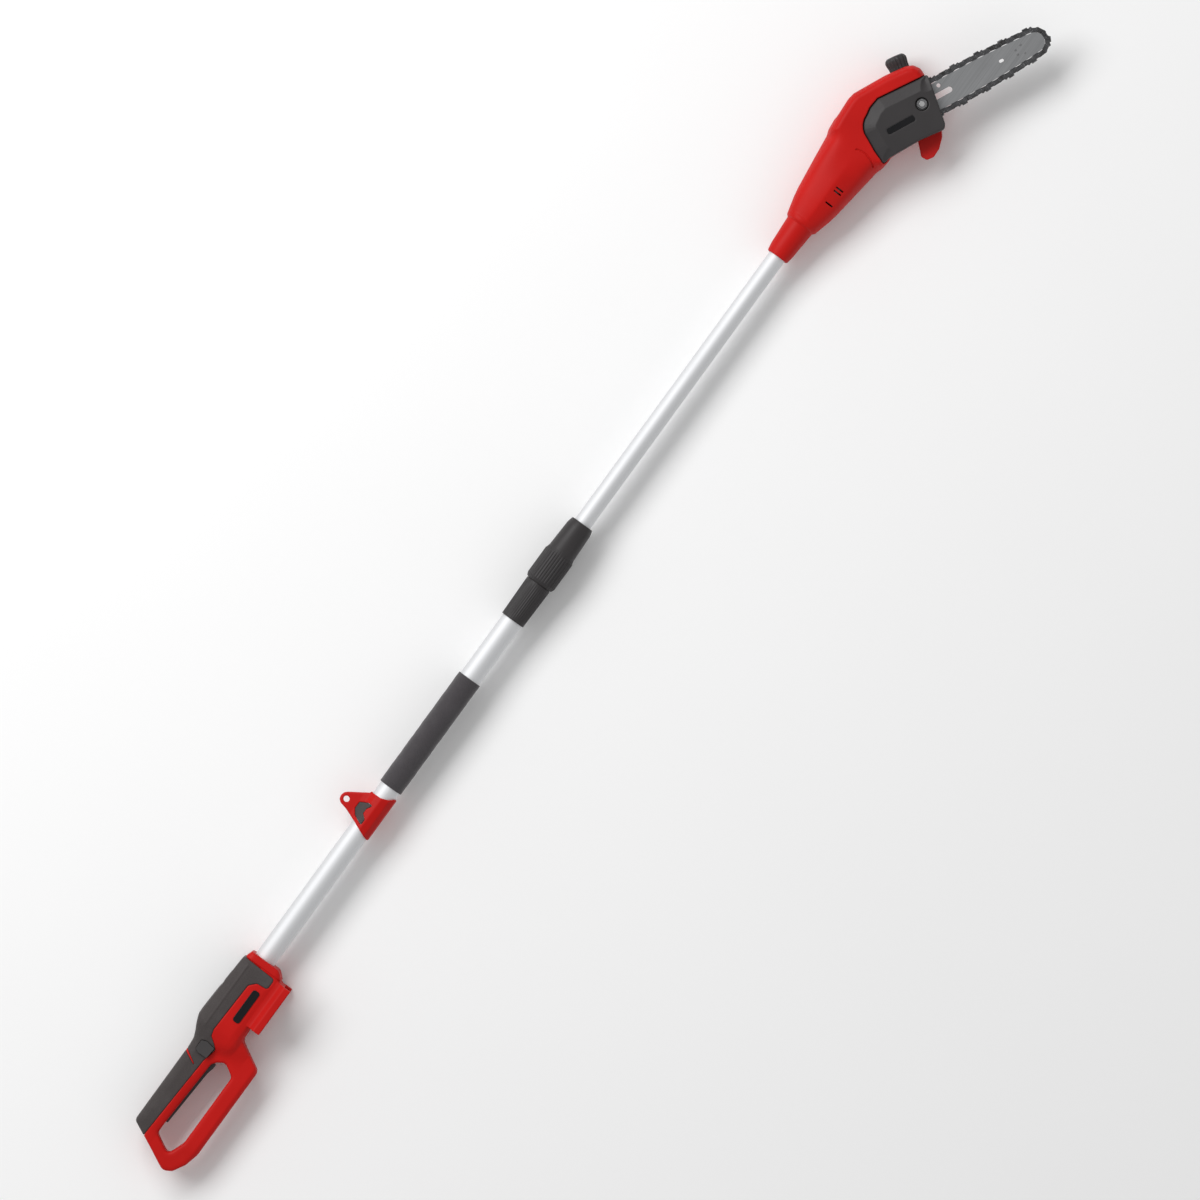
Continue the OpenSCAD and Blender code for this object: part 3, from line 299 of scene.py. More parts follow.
RED = (0.5, 0.007, 0.005)
WORN_RED = (0.56, 0.03, 0.026)
DARK = (0.036, 0.033, 0.034)
WORN_DARK = (0.085, 0.08, 0.08)
FINISHES = {  # each material slot of the record: what makes it, and its looks
    "red_plastic": (moulded, dict(
        colour=RED, grain_mm=0.8, depth_mm=0.035, rough=(0.42, 0.55), scuff=WORN_RED,
        specular=0.14)),
    "black_plastic": (moulded, dict(
        colour=DARK, grain_mm=0.7, depth_mm=0.05, rough=(0.38, 0.52), scuff=WORN_DARK)),
    "pale_plastic": (moulded, dict(
        colour=(0.72, 0.7, 0.64), grain_mm=0.9, depth_mm=0.03, Subsurface_Weight=0.15)),
    "hose": (moulded, dict(
        colour=(0.5, 0.43, 0.22), grain_mm=0.6, depth_mm=0.01, rough=(0.2, 0.3),
        Transmission_Weight=0.35)),
    "grip_rubber": (rubber, dict(colour=(0.06, 0.05, 0.049))),
    "cable_sheath": (rubber, dict(colour=(0.02, 0.02, 0.021), grain_mm=0.5, depth_mm=0.02)),
    "foam": (foam, dict(colour=(0.046, 0.041, 0.045))),
    "tube_aluminium": (drawn_metal, dict(
        colour=(0.66, 0.665, 0.675), rough=(0.66, 0.76), streak=(5, 1400, 1400))),
    "bright_steel": (drawn_metal, dict(
        colour=(0.6, 0.6, 0.6), rough=(0.25, 0.4), streak=(700, 700, 40))),
    "rotor_copper": (drawn_metal, dict(
        colour=(0.6, 0.26, 0.13), rough=(0.3, 0.4), streak=(60, 1500, 1500))),
    "contact_brass": (drawn_metal, dict(colour=(0.75, 0.52, 0.2), rough=(0.22, 0.3))),
    "badge_black": (drawn_metal, dict(
        colour=(0.03, 0.03, 0.032), rough=(0.25, 0.35), depth_mm=0.004)),
    "bar_steel": (drawn_metal, dict(
        colour=(0.3, 0.304, 0.31), rough=(0.42, 0.56), streak=(12, 900, 900), turn=-BAR_ANGLE,
        depth_mm=0.02, stain=0.8, edge=1.0)),
    "cast_aluminium": (cast, dict(colour=(0.52, 0.52, 0.53))),
    "gear_steel": (oiled_metal, dict(
        colour=(0.17, 0.17, 0.175), rough=(0.36, 0.5), edge=(0.26, 0.26, 0.265))),
    "chain_steel": (oiled_metal, dict(
        colour=(0.09, 0.09, 0.094), rough=(0.36, 0.5), edge=(0.2, 0.2, 0.205))),
}
made_finishes = {}


def finish_of(slot):
    """The slot's material, made when it is first asked for."""
    if slot not in made_finishes:
        make, looks = FINISHES[slot]
        made_finishes[slot] = make(slot, **looks)
    return made_finishes[slot]


SLOT_OF = {
    name: item.data.materials[0].name.split(".")[0] for name, item in frame["nodes"].items()
}

# ---------------------------------------------------------------- pieces


def added(name, data):
    """A new object in the scene that holds the data."""
    item = bpy.data.objects.new(name, data)
    bpy.context.scene.collection.objects.link(item)
    return item


def smooth(mesh):
    mesh.polygons.foreach_set("use_smooth", [True] * len(mesh.polygons))


def piece_from(name, points, faces):
    """A smooth-shaded piece with these points, in metres, and faces."""
    mesh = bpy.data.meshes.new(name)
    mesh.from_pydata(points, [], faces)
    mesh.update()
    smooth(mesh)
    return added(name, mesh)


def applied(piece):
    """The piece with its modifiers made real."""
    bpy.context.view_layer.update()
    graph = bpy.context.evaluated_depsgraph_get()
    mesh = bpy.data.meshes.new_from_object(piece.evaluated_get(graph))
    piece.modifiers.clear()
    piece.data = mesh
    return piece


def finished(piece, body, slot, *nodes):
    """Gives the piece its material and its body, and hides the CAD nodes that it stands for."""
    piece.data.materials.clear()
    piece.data.materials.append(finish_of(slot))
    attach(piece, body)
    if nodes:
        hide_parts(*nodes)
    return piece


PLATES = {  # flat plates, whose faces would show streaks if they were shaded smooth
    "guide_bar", "head_badge", "handle_badges", "chain_drive_links", "chain_tie_straps",
    "chain_cutters", "chain_rivets", "cover_nut",
}
DARKER_OILED_AND_SHADED = {"chain_rivets": "chain_steel", "motor_can": "gear_steel"}  # oiled rivets, and the motor can made darker as painted shade behind the vents
BEVEL_FROM = math.radians(32)  # edges sharper than this are rounded
CAD_SHARP = math.radians(50)
FLAT = 0.9999  # the least share of a face's normal along Z that makes it a plate's flat side


def softened(node, width_mm):
    """A copy of a CAD node with real rounded edges, which then stands for it."""
    mesh = frame["nodes"][node].data.copy()
    piece = added(node + "_finished", mesh)
    sheet = bmesh.new()
    sheet.from_mesh(mesh)
    bmesh.ops.remove_doubles(sheet, verts=sheet.verts, dist=2e-6)
    bmesh.ops.dissolve_limit(
        sheet, angle_limit=math.radians(1), verts=sheet.verts, edges=sheet.edges)
    sheet.to_mesh(mesh)
    sheet.free()
    edge = piece.modifiers.new("edge", "BEVEL")
    edge.width = width_mm * MM
    edge.segments = 2
    edge.limit_method = "ANGLE"
    edge.angle_limit = BEVEL_FROM
    applied(piece)
    smooth(piece.data)
    piece.data.set_sharp_from_angle(angle=CAD_SHARP)
    if node in PLATES:
        for face in piece.data.polygons:
            face.use_smooth = abs(face.normal.z) < FLAT
    else:
        even = piece.modifiers.new("even", "WEIGHTED_NORMAL")
        even.keep_sharp = True
        applied(piece)
    return finished(piece, BODY_OF[node], DARKER_OILED_AND_SHADED.get(node, SLOT_OF[node]), node)


# ---------------------------------------------------------------- moulded forms, from fields
# A field is a distance in mm from a form's surface, negative inside it. The piece is made where
# it is zero.


def smax(a, b, k):
    """The overlap of two fields, with its edge rounded to about k."""
    return np.maximum(a, b) + np.maximum(k - np.abs(a - b), 0) ** 2 / (4 * k)


def smin(a, b, k):
    return -smax(-a, -b, k)


def ease(low, high, x):
    t = np.clip((x - low) / (high - low), 0, 1)
    return t * t * (3 - 2 * t)


def mirrored(half):
    return half + [(a, -b) for a, b in reversed(half)]


def filleted(points, radius, steps=5):
    """The outline with each corner turned into a curve of about that radius."""
    out = []
    for i, point in enumerate(points):
        corner = Vector(point)
        back = Vector(points[i - 1]) - corner
        ahead = Vector(points[(i + 1) % len(points)]) - corner
        half_turn = (math.pi - back.angle(ahead)) / 2
        trim = min(radius * math.tan(half_turn), 0.45 * back.length, 0.45 * ahead.length)
        if trim < 0.05:
            out.append(tuple(corner))
            continue
        start, end = corner + trim * back.normalized(), corner + trim * ahead.normalized()
        for s in range(steps + 1):
            t = s / steps
            out.append(tuple((1 - t) ** 2 * start + 2 * t * (1 - t) * corner + t * t * end))
    return out


def outline_field(points, u, v, closed=True):
    """Distance from an outline in the (u, v) plane, negative inside it."""
    shape = np.broadcast(u, v).shape
    nearest = np.full(shape, np.inf, np.float32)
    inside = np.zeros(shape, bool)
    ends = points[1:] + points[:1] if closed else points[1:]
    for (ax, ay), (bx, by) in zip(points, ends):
        ex, ey = bx - ax, by - ay
        t = np.clip(((u - ax) * ex + (v - ay) * ey) / (ex * ex + ey * ey), 0, 1)
        nearest = np.minimum(nearest, (u - ax - t * ex) ** 2 + (v - ay - t * ey) ** 2)
        if ay != by:
            inside ^= ((ay > v) != (by > v)) & (u < ex * (v - ay) / ey + ax)
    distance = np.sqrt(nearest)
    return np.where(inside, -distance, distance) if closed else distance


def disc_field(u, v, r):
    return np.hypot(u, v) - r


def block_field(x, y, z, low, high):
    sides = [np.maximum(a - c, c - b) for c, a, b in zip((x, y, z), low, high)]
    return np.maximum(np.maximum(sides[0], sides[1]), sides[2])


def net(values, low, step):
    """Points and four-sided faces of a field's zero surface, a point in each cell it crosses."""
    cells = tuple(n - 1 for n in values.shape)
    total = np.zeros(cells + (3,), np.float32)
    count = np.zeros(cells, np.int32)
    for axis in range(3):
        others = [a for a in range(3) if a != axis]
        for first in (0, 1):
            for second in (0, 1):
                at = [0, 0, 0]
                at[others[0]], at[others[1]] = first, second
                near = values[tuple(slice(o, o + n) for o, n in zip(at, cells))]
                at[axis] = 1
                far = values[tuple(slice(o, o + n) for o, n in zip(at, cells))]
                crossed = (near < 0) != (far < 0)
                share = np.where(crossed, near / np.where(crossed, near - far, 1), 0)
                at[axis] = 0
                for c in range(3):
                    total[..., c] += share if c == axis else np.where(crossed, at[c], 0)
                count += crossed
    used = count > 0
    number = np.full(cells, -1, np.int64)
    number[used] = np.arange(used.sum())
    points = (np.argwhere(used) + total[used] / count[used][:, None]) * step + np.array(low)
    faces = []
    for axis in range(3):
        b, c = (axis + 1) % 3, (axis + 2) % 3
        near = np.moveaxis(values, axis, 0)[:-1]
        far = np.moveaxis(values, axis, 0)[1:]
        crossed = np.moveaxis((near < 0) != (far < 0), 0, axis)
        spot = np.argwhere(crossed)
        inner = (spot[:, b] > 0) & (spot[:, c] > 0)
        inner &= (spot[:, b] < values.shape[b] - 1) & (spot[:, c] < values.shape[c] - 1)
        spot = spot[inner]
        ring = []
        for db, dc in ((1, 1), (0, 1), (0, 0), (1, 0)):
            cell = spot.copy()
            cell[:, b] -= db
            cell[:, c] -= dc
            ring.append(number[tuple(cell.T)])
        ring = np.stack(ring, 1)
        outward = values[tuple(spot.T)] < 0
        ring[~outward] = ring[~outward][:, ::-1]
        faces.append(ring)
    return points, np.concatenate(faces)


FORM_SHARP = math.radians(48)
FAR = 1e3  # mm, the field of nothing


def union(fields):
    """The fields' shapes together, or nothing at all."""
    found = np.full((1, 1, 1), FAR, np.float32)
    for field in fields:
        found = np.minimum(found, field)
    return found


def field_piece(name, field, low, high, step, place, keep):
    """A mesh of the field's zero surface inside a box, thinned to a share of its faces."""
    axes = [np.arange(a, b + step, step, dtype=np.float32) for a, b in zip(low, high)]
    x, y, z = np.meshgrid(*axes, indexing="ij", sparse=True)
    shape = tuple(len(a) for a in axes)
    values = np.broadcast_to(field(x, y, z), shape).astype(np.float32)
    points, faces = net(values, low, step)
    turn = np.array(place)
    points = points @ turn[:3, :3].T + turn[:3, 3]
    piece = piece_from(name, points.tolist(), faces.tolist())
    even = piece.modifiers.new("even", "SMOOTH")
    even.factor = 0.5
    even.iterations = 2
    thin = piece.modifiers.new("thin", "DECIMATE")
    thin.ratio = keep
    applied(piece)
    piece.data.set_sharp_from_angle(angle=FORM_SHARP)
    return piece


# ---------------------------------------------------------------- handle, in mm from its rear
# X runs along the pole from here, Y towards the grip's back and Z towards the cover's side. Each
# filleted() outline ends with the radius of its corners.

HANDLE_OUTLINE = filleted([
    (37, 16.5), (167, 16.5), (190, 21.5), (213, 31.8), (222, 32.4), (313, 27), (323, 22.8),
    (329, 21.8), (329, -25), (314, -41), (314, -42), (217, -42), (194, -84), (188, -86.6),
    (48, -86.6), (26, -80.5), (8, -70.5), (0, -58.5), (15, -29.3),
], 9)
HANDLE_HOLE = filleted([
    (24, -50.5), (39.5, -21.4), (60, -21.6), (163, -25.6), (170, -31), (176.5, -41),
    (165, -60.2), (50, -60.2), (41, -57),
], 8)
HANDLE_PLAN = filleted(mirrored([
    (-1, 9), (6, 13.5), (38, 14.5), (50, 17.5), (150, 17.5), (172, 19.5), (190, 24),
    (210, 29.5), (222, 31), (304, 31), (323, 29.5), (330, 28),
]), 26)
GRIP_SECTION = filleted(mirrored([
    (17, 9), (14, 14.5), (5, 18), (-12, 18), (-22, 14.5), (-62, 13.5), (-80, 13.5), (-88, 9),
]), 7)
BODY_SECTION = filleted(mirrored([
    (33, 17), (29, 24), (15.5, 31), (9, 32), (-26, 32), (-35, 28), (-43, 21), (-62, 15),
    (-79, 14.2), (-88, 10.4),
]), 4)
RUBBER_ZONE = filleted([
    (10, 40), (24, -7.5), (29, -7.3), (162, -13.7), (184, -18.5), (190, -12), (197, -2.3),
    (207, 0.5), (286, -2.3), (295.5, -10.8), (297, -27.8), (314, -27.8), (316.7, 40),
], 5)
SEAM = [(165.2, 20), (160.6, 20), (148.6, -5.5), (150.4, -5.5)]
LOCK_OFF_OUTLINE = filleted([
    (167, -15), (185, -16.5), (187, -2), (184, 5.5), (170, 5.5), (167, 0),
], 2)
HANDLE_BOSSES = [  # X, Y and the height of the screw's seat
    (22, -62, -9), (46, 3, -12), (100, 4, -12), (75, -73.5, -9), (170, -73.5, -9), (205, -36, -18),
    (232, 24, -21), (296, 22.5, -22), (312, -24, -22),
]
SWELL_X = (176, 206)  # where the grip's section turns into the body's
COLLAR_GROOVE = (316.6, 0.9, 1.4)  # X of its middle, half of its width, and its depth
DENT_X = (267, 293)  # two shallow dents along the body's top
DENT_Y, DENT_R = 35.4, 6
RIDGE_Y = 14.8  # a raised line along the side of the body
RIDGE_X = (207, 312)
RIDGE_HALF, RIDGE_HEIGHT = 2.2, 0.8
TUBE_R = 16.1
TRIGGER_SLOT = ((57, -40, -6.4), (169.5, -12.6, 6.4))
LOCK_OFF_GAP = 0.4
LOCK_OFF_STEM = (177, -5, 4.9)  # X, Y and radius of the hole for the button's stem
BADGE_OUTLINE = filleted([(287, -12), (233, -12), (233, -24), (287, -24)], 4)
BADGE_Z = 30.2
SKIN = 2.6  # how deep the rubber sits in the shell
SKIN_GAP = 0.2
SKIN_PROUD = 0.25  # how far the rubber stands out of the form
WALL = 3.4
HANDLE_BOSS_R = 5
SCREW_HEAD_R, SCREW_HOLE_R = 3.7, 1.9
SCREW_TOP_Z = 8
FOOT_SECTION = mirrored([(-56, 36), (-46, 36), (-39, 29.4), (-34, 28.4)])
FOOT_X = (238, 314)
FOOT_SLOT = ((242, -57, -27), (400, -45.6, 27))
FOOT_LIPS = ((242, -56, 24), (314, -52.6, 30))
DOCK_POCKET = ((246, -50, -19), (296, -36, 19))
FINE_STEP, FINE_KEEP = 0.8, 0.4  # mm between the field's samples, and the share of faces kept
CASE_STEP, CASE_KEEP = 0.95, 0.4
HANDLE_BOX = ((-3, -90), (332, 36))  # X and Y
HANDLE_HALF = 38.5  # beyond the highest point


def handle_form(x, y, z):
    """The handle's outer surface: a loop grip that swells into a body round the tube."""
    side = outline_field(HANDLE_OUTLINE, x, y)
    hole = outline_field(HANDLE_HOLE, x, y)
    plan = outline_field(HANDLE_PLAN, x, z)
    grip = outline_field(GRIP_SECTION, y, z)
    body = outline_field(BODY_SECTION, y, z)
    swell = ease(*SWELL_X, x)
    section = grip * (1 - swell) + body * swell
    form = smax(smax(np.maximum(side, -hole), plan, 6), section, 5)
    middle, half, depth = COLLAR_GROOVE
    groove = np.maximum(np.abs(x - middle) - half, -form - depth)
    form = np.maximum(form, -groove)
    dents = union(disc_field(x - at, y - DENT_Y, DENT_R) for at in DENT_X)
    form = smax(form, -dents, 3)
    near_ridge = np.clip(1 - np.abs(y - RIDGE_Y) / RIDGE_HALF, 0, 1)
    start, end = RIDGE_X
    fade = ease(start - 8, start + 6, x) * (1 - ease(end - 6, end, x))
    return form - RIDGE_HEIGHT * near_ridge * fade


def rubber_zone(x, y):
    """Where rubber covers the handle's sides, but for the red seam across it."""
    return np.maximum(outline_field(RUBBER_ZONE, x, y), -outline_field(SEAM, x, y))


def handle_openings(x, y, z):
    """What is open through shells and rubber: for the trigger, lock-off button, badge and tube."""
    button = outline_field(LOCK_OFF_OUTLINE, x, y) - LOCK_OFF_GAP
    stem_x, stem_y, stem_r = LOCK_OFF_STEM
    return union([
        block_field(x, y, z, *TRIGGER_SLOT),
        np.maximum(button, -z),
        np.maximum(disc_field(x - stem_x, y - stem_y, stem_r), z),
        np.maximum(outline_field(BADGE_OUTLINE, x, y), BADGE_Z - np.abs(z)),
        np.maximum(disc_field(y, z, TUBE_R), TUBE_START - x),
    ])


def bosses_field(x, y, bosses, radius):
    return union(disc_field(x - at_x, y - at_y, radius) for at_x, at_y, _ in bosses)


def screw_wells(x, y, z, bosses):
    """The screws' holes, and counterbores in the right half down to the seats of their heads."""
    wells = []
    for at_x, at_y, seat in bosses:
        across = np.hypot(x - at_x, y - at_y)
        wells.append(np.maximum(across - SCREW_HEAD_R, z - seat))
        wells.append(np.maximum(across - SCREW_HOLE_R, z - SCREW_TOP_Z))
    return union(wells)


def foot_form(x, y, z):
    """The foot that the battery slides onto, with its slot and two lips."""
    ends = np.maximum(FOOT_X[0] - x, x - FOOT_X[1])
    block = np.maximum(outline_field(FOOT_SECTION, y, z), ends)
    slot = block_field(x, y, z, *FOOT_SLOT)
    lips = block_field(x, y, np.abs(z), *FOOT_LIPS)
    return np.minimum(smax(block, -slot, 1.5), np.maximum(lips, block))


def handle_shell_field(x, y, z):
    form = handle_form(x, y, z)
    under_rubber = form + SKIN + SKIN_GAP
    outer = np.minimum(under_rubber, smax(form, SKIN_GAP - rubber_zone(x, y), 1))
    outer = smin(outer, foot_form(x, y, z), 2)
    bosses = bosses_field(x, y, HANDLE_BOSSES, HANDLE_BOSS_R)
    shell = np.maximum(outer, -(form + SKIN + WALL))
    shell = np.minimum(shell, np.maximum(bosses, form + SKIN + 1))
    shell = np.maximum(shell, -handle_openings(x, y, z))
    shell = np.maximum(shell, -block_field(x, y, z, *DOCK_POCKET))
    return np.maximum(shell, -screw_wells(x, y, z, HANDLE_BOSSES))


def rubber_field(x, y, z):
    form = handle_form(x, y, z)
    skin = smax(form - SKIN_PROUD, rubber_zone(x, y), 1.6)
    skin = np.maximum(skin, -(form + SKIN))
    skin = np.maximum(skin, -handle_openings(x, y, z))
    return np.maximum(skin, -screw_wells(x, y, z, HANDLE_BOSSES))


PARTING = 0.08  # half of the fine gap between the two halves of a casing


def split_casing(name, field, box, half, slot, place=AT_HANDLE, step=CASE_STEP, keep=CASE_KEEP):
    """The left and right halves of a casing, each standing for its CAD node."""
    for side, sign in (("left", 1), ("right", -1)):
        node = name + "_" + side
        low = (*box[0], -2 * step if sign > 0 else -half)
        high = (*box[1], half if sign > 0 else 2 * step)

        def half_field(x, y, z):
            return np.maximum(field(x, y, z), PARTING - sign * z)

        piece = field_piece(node + "_moulded", half_field, low, high, step, place, keep)
        finished(piece, BODY_OF[node], slot, node)


def make_handle():
    split_casing("handle_shell", handle_shell_field, HANDLE_BOX, HANDLE_HALF, "red_plastic")
    split_casing("grip_rubber", rubber_field, HANDLE_BOX, HANDLE_HALF, "grip_rubber")


# ---------------------------------------------------------------- sling bracket

SLING_OUTLINE = filleted([
    (548, -19), (560, 10.5), (568.5, 33), (571, 44.5), (574.5, 49.2), (580.3, 50.8),
    (586, 49.2), (589.5, 45.5), (607, 19), (609.6, 18.6), (610.4, 2), (614, -8), (622.5, -19),
], 4)
SLING_INSERT = filleted([
    (562.5, 2.5), (569, 17.5), (577, 23.5), (588, 23.5), (594.5, 12), (594.5, 4.5), (586, 9.5),
    (578, 9.5), (572, 2.5),
], 2)
SLING_SECTION = filleted(mirrored([
    (52, 4.2), (25, 7), (17, 9), (9, 16.5), (0, 19), (-10, 16.5), (-17, 9), (-19, 2),
]), 5)
SLING_EYE = (580.3, 41)
SLING_EYE_R = 4.5
SLING_BOLT = (598, 22)
BOLT_HEAD_R, BOLT_HOLE_R = 4.3, 2.1
BOLT_SEAT_Z, BOLT_TOP_Z = -3, 4
INSERT_DEEP, INSERT_THICK = 2.5, 2.3
INSERT_GAP = 0.25
INSERT_RIB = 0.175
SLING_BOX = ((545, -22), (625, 54))
SLING_HALF = 21
INSERT_BOX = ((558, -2, -22), (598, 28, 22))


def sling_form(x, y, z):
    side = outline_field(SLING_OUTLINE, x, y)
    section = outline_field(SLING_SECTION, y, z)
    return smax(side, section, 2.2)


def sling_field(x, y, z):
    """The strap's bracket, with its eye, its bolt's hole and the pocket of its rubber insert."""
    form = sling_form(x, y, z)
    insert = outline_field(SLING_INSERT, x, y)
    pocket = np.maximum(insert, -(form + INSERT_DEEP))
    across = np.hypot(x - SLING_BOLT[0], y - SLING_BOLT[1])
    for gone in (
        disc_field(y, z, TUBE_R),
        disc_field(x - SLING_EYE[0], y - SLING_EYE[1], SLING_EYE_R),
        pocket,
        np.maximum(across - BOLT_HEAD_R, z - BOLT_SEAT_Z),
        np.maximum(across - BOLT_HOLE_R, z - BOLT_TOP_Z),
    ):
        form = smax(form, -gone, 0.8)
    return form


def sling_insert_field(x, y, z):
    insert = outline_field(SLING_INSERT, x, y) + INSERT_GAP
    form = sling_form(x, y, z)
    plug = smax(insert, form - 0.5, 1.2)
    ribs = INSERT_RIB * np.cos((x + y) * 1.6)
    plug = np.maximum(plug, form - 0.15 + ribs)
    plug = np.maximum(plug, -(form + INSERT_THICK))
    return np.maximum(plug, -disc_field(y, z, TUBE_R))


def make_sling_bracket():
    split_casing(
        "sling_bracket", sling_field, SLING_BOX, SLING_HALF, "red_plastic",
        step=FINE_STEP, keep=0.5)
    plug = field_piece(
        "sling_insert_moulded", sling_insert_field, *INSERT_BOX, FINE_STEP, AT_HANDLE, 0.6)
    finished(plug, BODY_OF["sling_insert"], "grip_rubber", "sling_insert")


# ---------------------------------------------------------------- saw head, in mm from its neck
# The axes are as for the handle.

CONE = [  # X and radius
    (0, 15.6), (1.5, 17), (12, 18.7), (55, 21.5), (58, 24.6), (69, 27.5), (83, 31.1),
    (97, 33.8), (119, 36.6), (147, 40.2), (190, 45.3), (204, 46),
]
LOBE = filleted([
    (186, 44.8), (211, 48.3), (239, 50), (250, 48.6), (296, 28), (324, 12), (332, 4.5),
    (334.6, -7), (331, -17), (293, -78), (284, -80.5), (252, -64.5), (206.5, -46.5), (186, -44.8),
], 8)
CREASE_Y = -5  # a line along the side of the cone, where its two facets meet
CREASE_SLOPES = (0.24, -0.3)
CREASE_HEIGHT = [(56, 40), (66, 27.6), (97, 33), (119, 35), (204, 36.5)]
CREASE_FADE = (110, 200)
CONE_LEAN = 0.97  # turns a distance across the axis into one from the cone's surface
LOBE_CHAMFER = (9, 8)
LOBE_CHAMFER_Z = 27
HEAD_SIDE = 36
HEAD_WALL = 3
HEAD_BOSSES = [  # X, Y and the height of the screw's seat
    (72, 15, -17), (72, -15, -17), (140, 26, -22), (204, 34, -29), (258, 33, -29),
    (275.5, -60.6, -29),
]
HEAD_BOSS_R = 4.6
NECK_BORE_R = 13.1
SHAFT_HOLE_R = 12.5
VENT_X = (101, 121, 126.5)
VENT_MIDDLE = (0.9, -16)
VENT_HALF = (1.05, 6.2)
ARC_AT, ARC_R, ARC_HALF = (157, -14), 32.4, 1.1  # a curved groove between the cone and the case
ARC_FROM_X, ARC_MIDDLE_Y, ARC_HALF_Y, ARC_DEEP = 176, -18.5, 17.5, 1.6
CAP_AT = (317, 14, -3)
CAP_LEAN = math.radians(30)
CAP_AXIS = (math.sin(CAP_LEAN), math.cos(CAP_LEAN))
CAP_HOLES = ((12.6, -12), (16.8, -1.5))  # radius, and where along the cap's axis it starts
CAP_HOLE_END = 25
HOOK = filleted([
    (254, -61), (235, -82), (236, -91), (245, -96.5), (259, -96), (275, -89.5), (284, -82),
    (284, -70),
], 4)
HOOK_Z, HOOK_HALF = 7, 4.2
COVER_ARC_R = 27.5


def cover_arc():
    """The cover's edge round the sprocket."""
    return [
        (SHAFT_IN_HEAD.x + COVER_ARC_R * math.cos(math.radians(a)),
         SHAFT_IN_HEAD.y + COVER_ARC_R * math.sin(math.radians(a)))
        for a in range(165, 89, -15)
    ]


COVER_TOP_EDGE = [
    (193.6, -44.3), (200, -25), *cover_arc(), (246, 17.8), (263, 16.8), (332.7, -20.1),
]
COVER_OUTLINE = COVER_TOP_EDGE + [(290.5, -81.5), (284, -85.5), (252, -67), (206.4, -47)]
POCKET_Z = 15  # the floor that the cover stands on
POCKET_GAP = 0.6
CASE_FLOOR = (3.5, 12)  # its edge's distance inside the cover's, and its height
COVER_TOP, COVER_DROP, COVER_SLOPE = 40, 7.5, 17.5
COVER_LEAN = 0.93
STUD_X = 63.5
NUT_BOSS_R, NUT_BOSS_Z = 13, (23.6, 37)
NUT_POCKET_R, NUT_SEAT_Z = 9.4, 34
STUD_HOLE_R = 4.4
COVER_MOUTH = ((30, -31, 10), (120, 31, 28.4))
BADGE_CENTRE = (252, -32)
COVER_BADGE_HALF, COVER_BADGE_Z = (22, 4.75), 39.4
HEAD_BOX = ((-2, -98), (338, 53))
HEAD_HALF = 39
COVER_BOX = ((188, -90, 12), (338, 22, 43))


def head_form(x, y, z):
    """A cone that swells from the tube into the gear case, flattened on both sides."""
    across = np.hypot(y, z)
    cone = (across - np.interp(x, *zip(*CONE)).astype(np.float32)) * CONE_LEAN
    top = np.interp(x, *zip(*CREASE_HEIGHT)).astype(np.float32)
    fade = 1 - ease(*CREASE_FADE, x)
    facets = [
        (slope * fade * (y - CREASE_Y) + np.abs(z) - top) / np.sqrt(1 + (slope * fade) ** 2)
        for slope in CREASE_SLOPES
    ]
    cone = smax(cone, smax(facets[0], facets[1], 0.8), 7)
    cone = smax(cone, np.maximum(-x, x - CONE[-1][0]), 1.5)
    side = outline_field(LOBE, x, y)
    a, b = LOBE_CHAMFER
    chamfer = (a * side + b * (np.abs(z) - LOBE_CHAMFER_Z)) / math.hypot(a, b)
    lobe = smax(side, chamfer, 6)
    return smax(smin(cone, lobe, 9), np.abs(z) - HEAD_SIDE, 3)


def cap_place(x, y, z):
    """Distances from the oil cap's axis and along it."""
    u, v = x - CAP_AT[0], y - CAP_AT[1]
    along = u * CAP_AXIS[0] + v * CAP_AXIS[1]
    across = u * CAP_AXIS[1] - v * CAP_AXIS[0]
    return np.hypot(across, z - CAP_AT[2]), along


def bar_place(x, y, centre=None):
    """Where a point of the head lies along and across the bar."""
    at = centre or (SHAFT_IN_HEAD.x, SHAFT_IN_HEAD.y)
    u, v = x - at[0], y - at[1]
    c, s = math.cos(BAR_ANGLE), math.sin(BAR_ANGLE)
    return u * c + v * s, v * c - u * s


def vent_slots(x, y):
    middle_x, middle_y = VENT_MIDDLE
    return union(
        np.maximum(np.abs(x - at - middle_x) - VENT_HALF[0], np.abs(y - middle_y) - VENT_HALF[1])
        for at in VENT_X
    )


def arc_groove(x, y, form):
    arc = np.abs(np.hypot(x - ARC_AT[0], y - ARC_AT[1]) - ARC_R) - ARC_HALF
    ends = np.maximum(ARC_FROM_X - x, np.abs(y - ARC_MIDDLE_Y) - ARC_HALF_Y)
    return np.maximum(np.maximum(arc, ends), -form - ARC_DEEP)


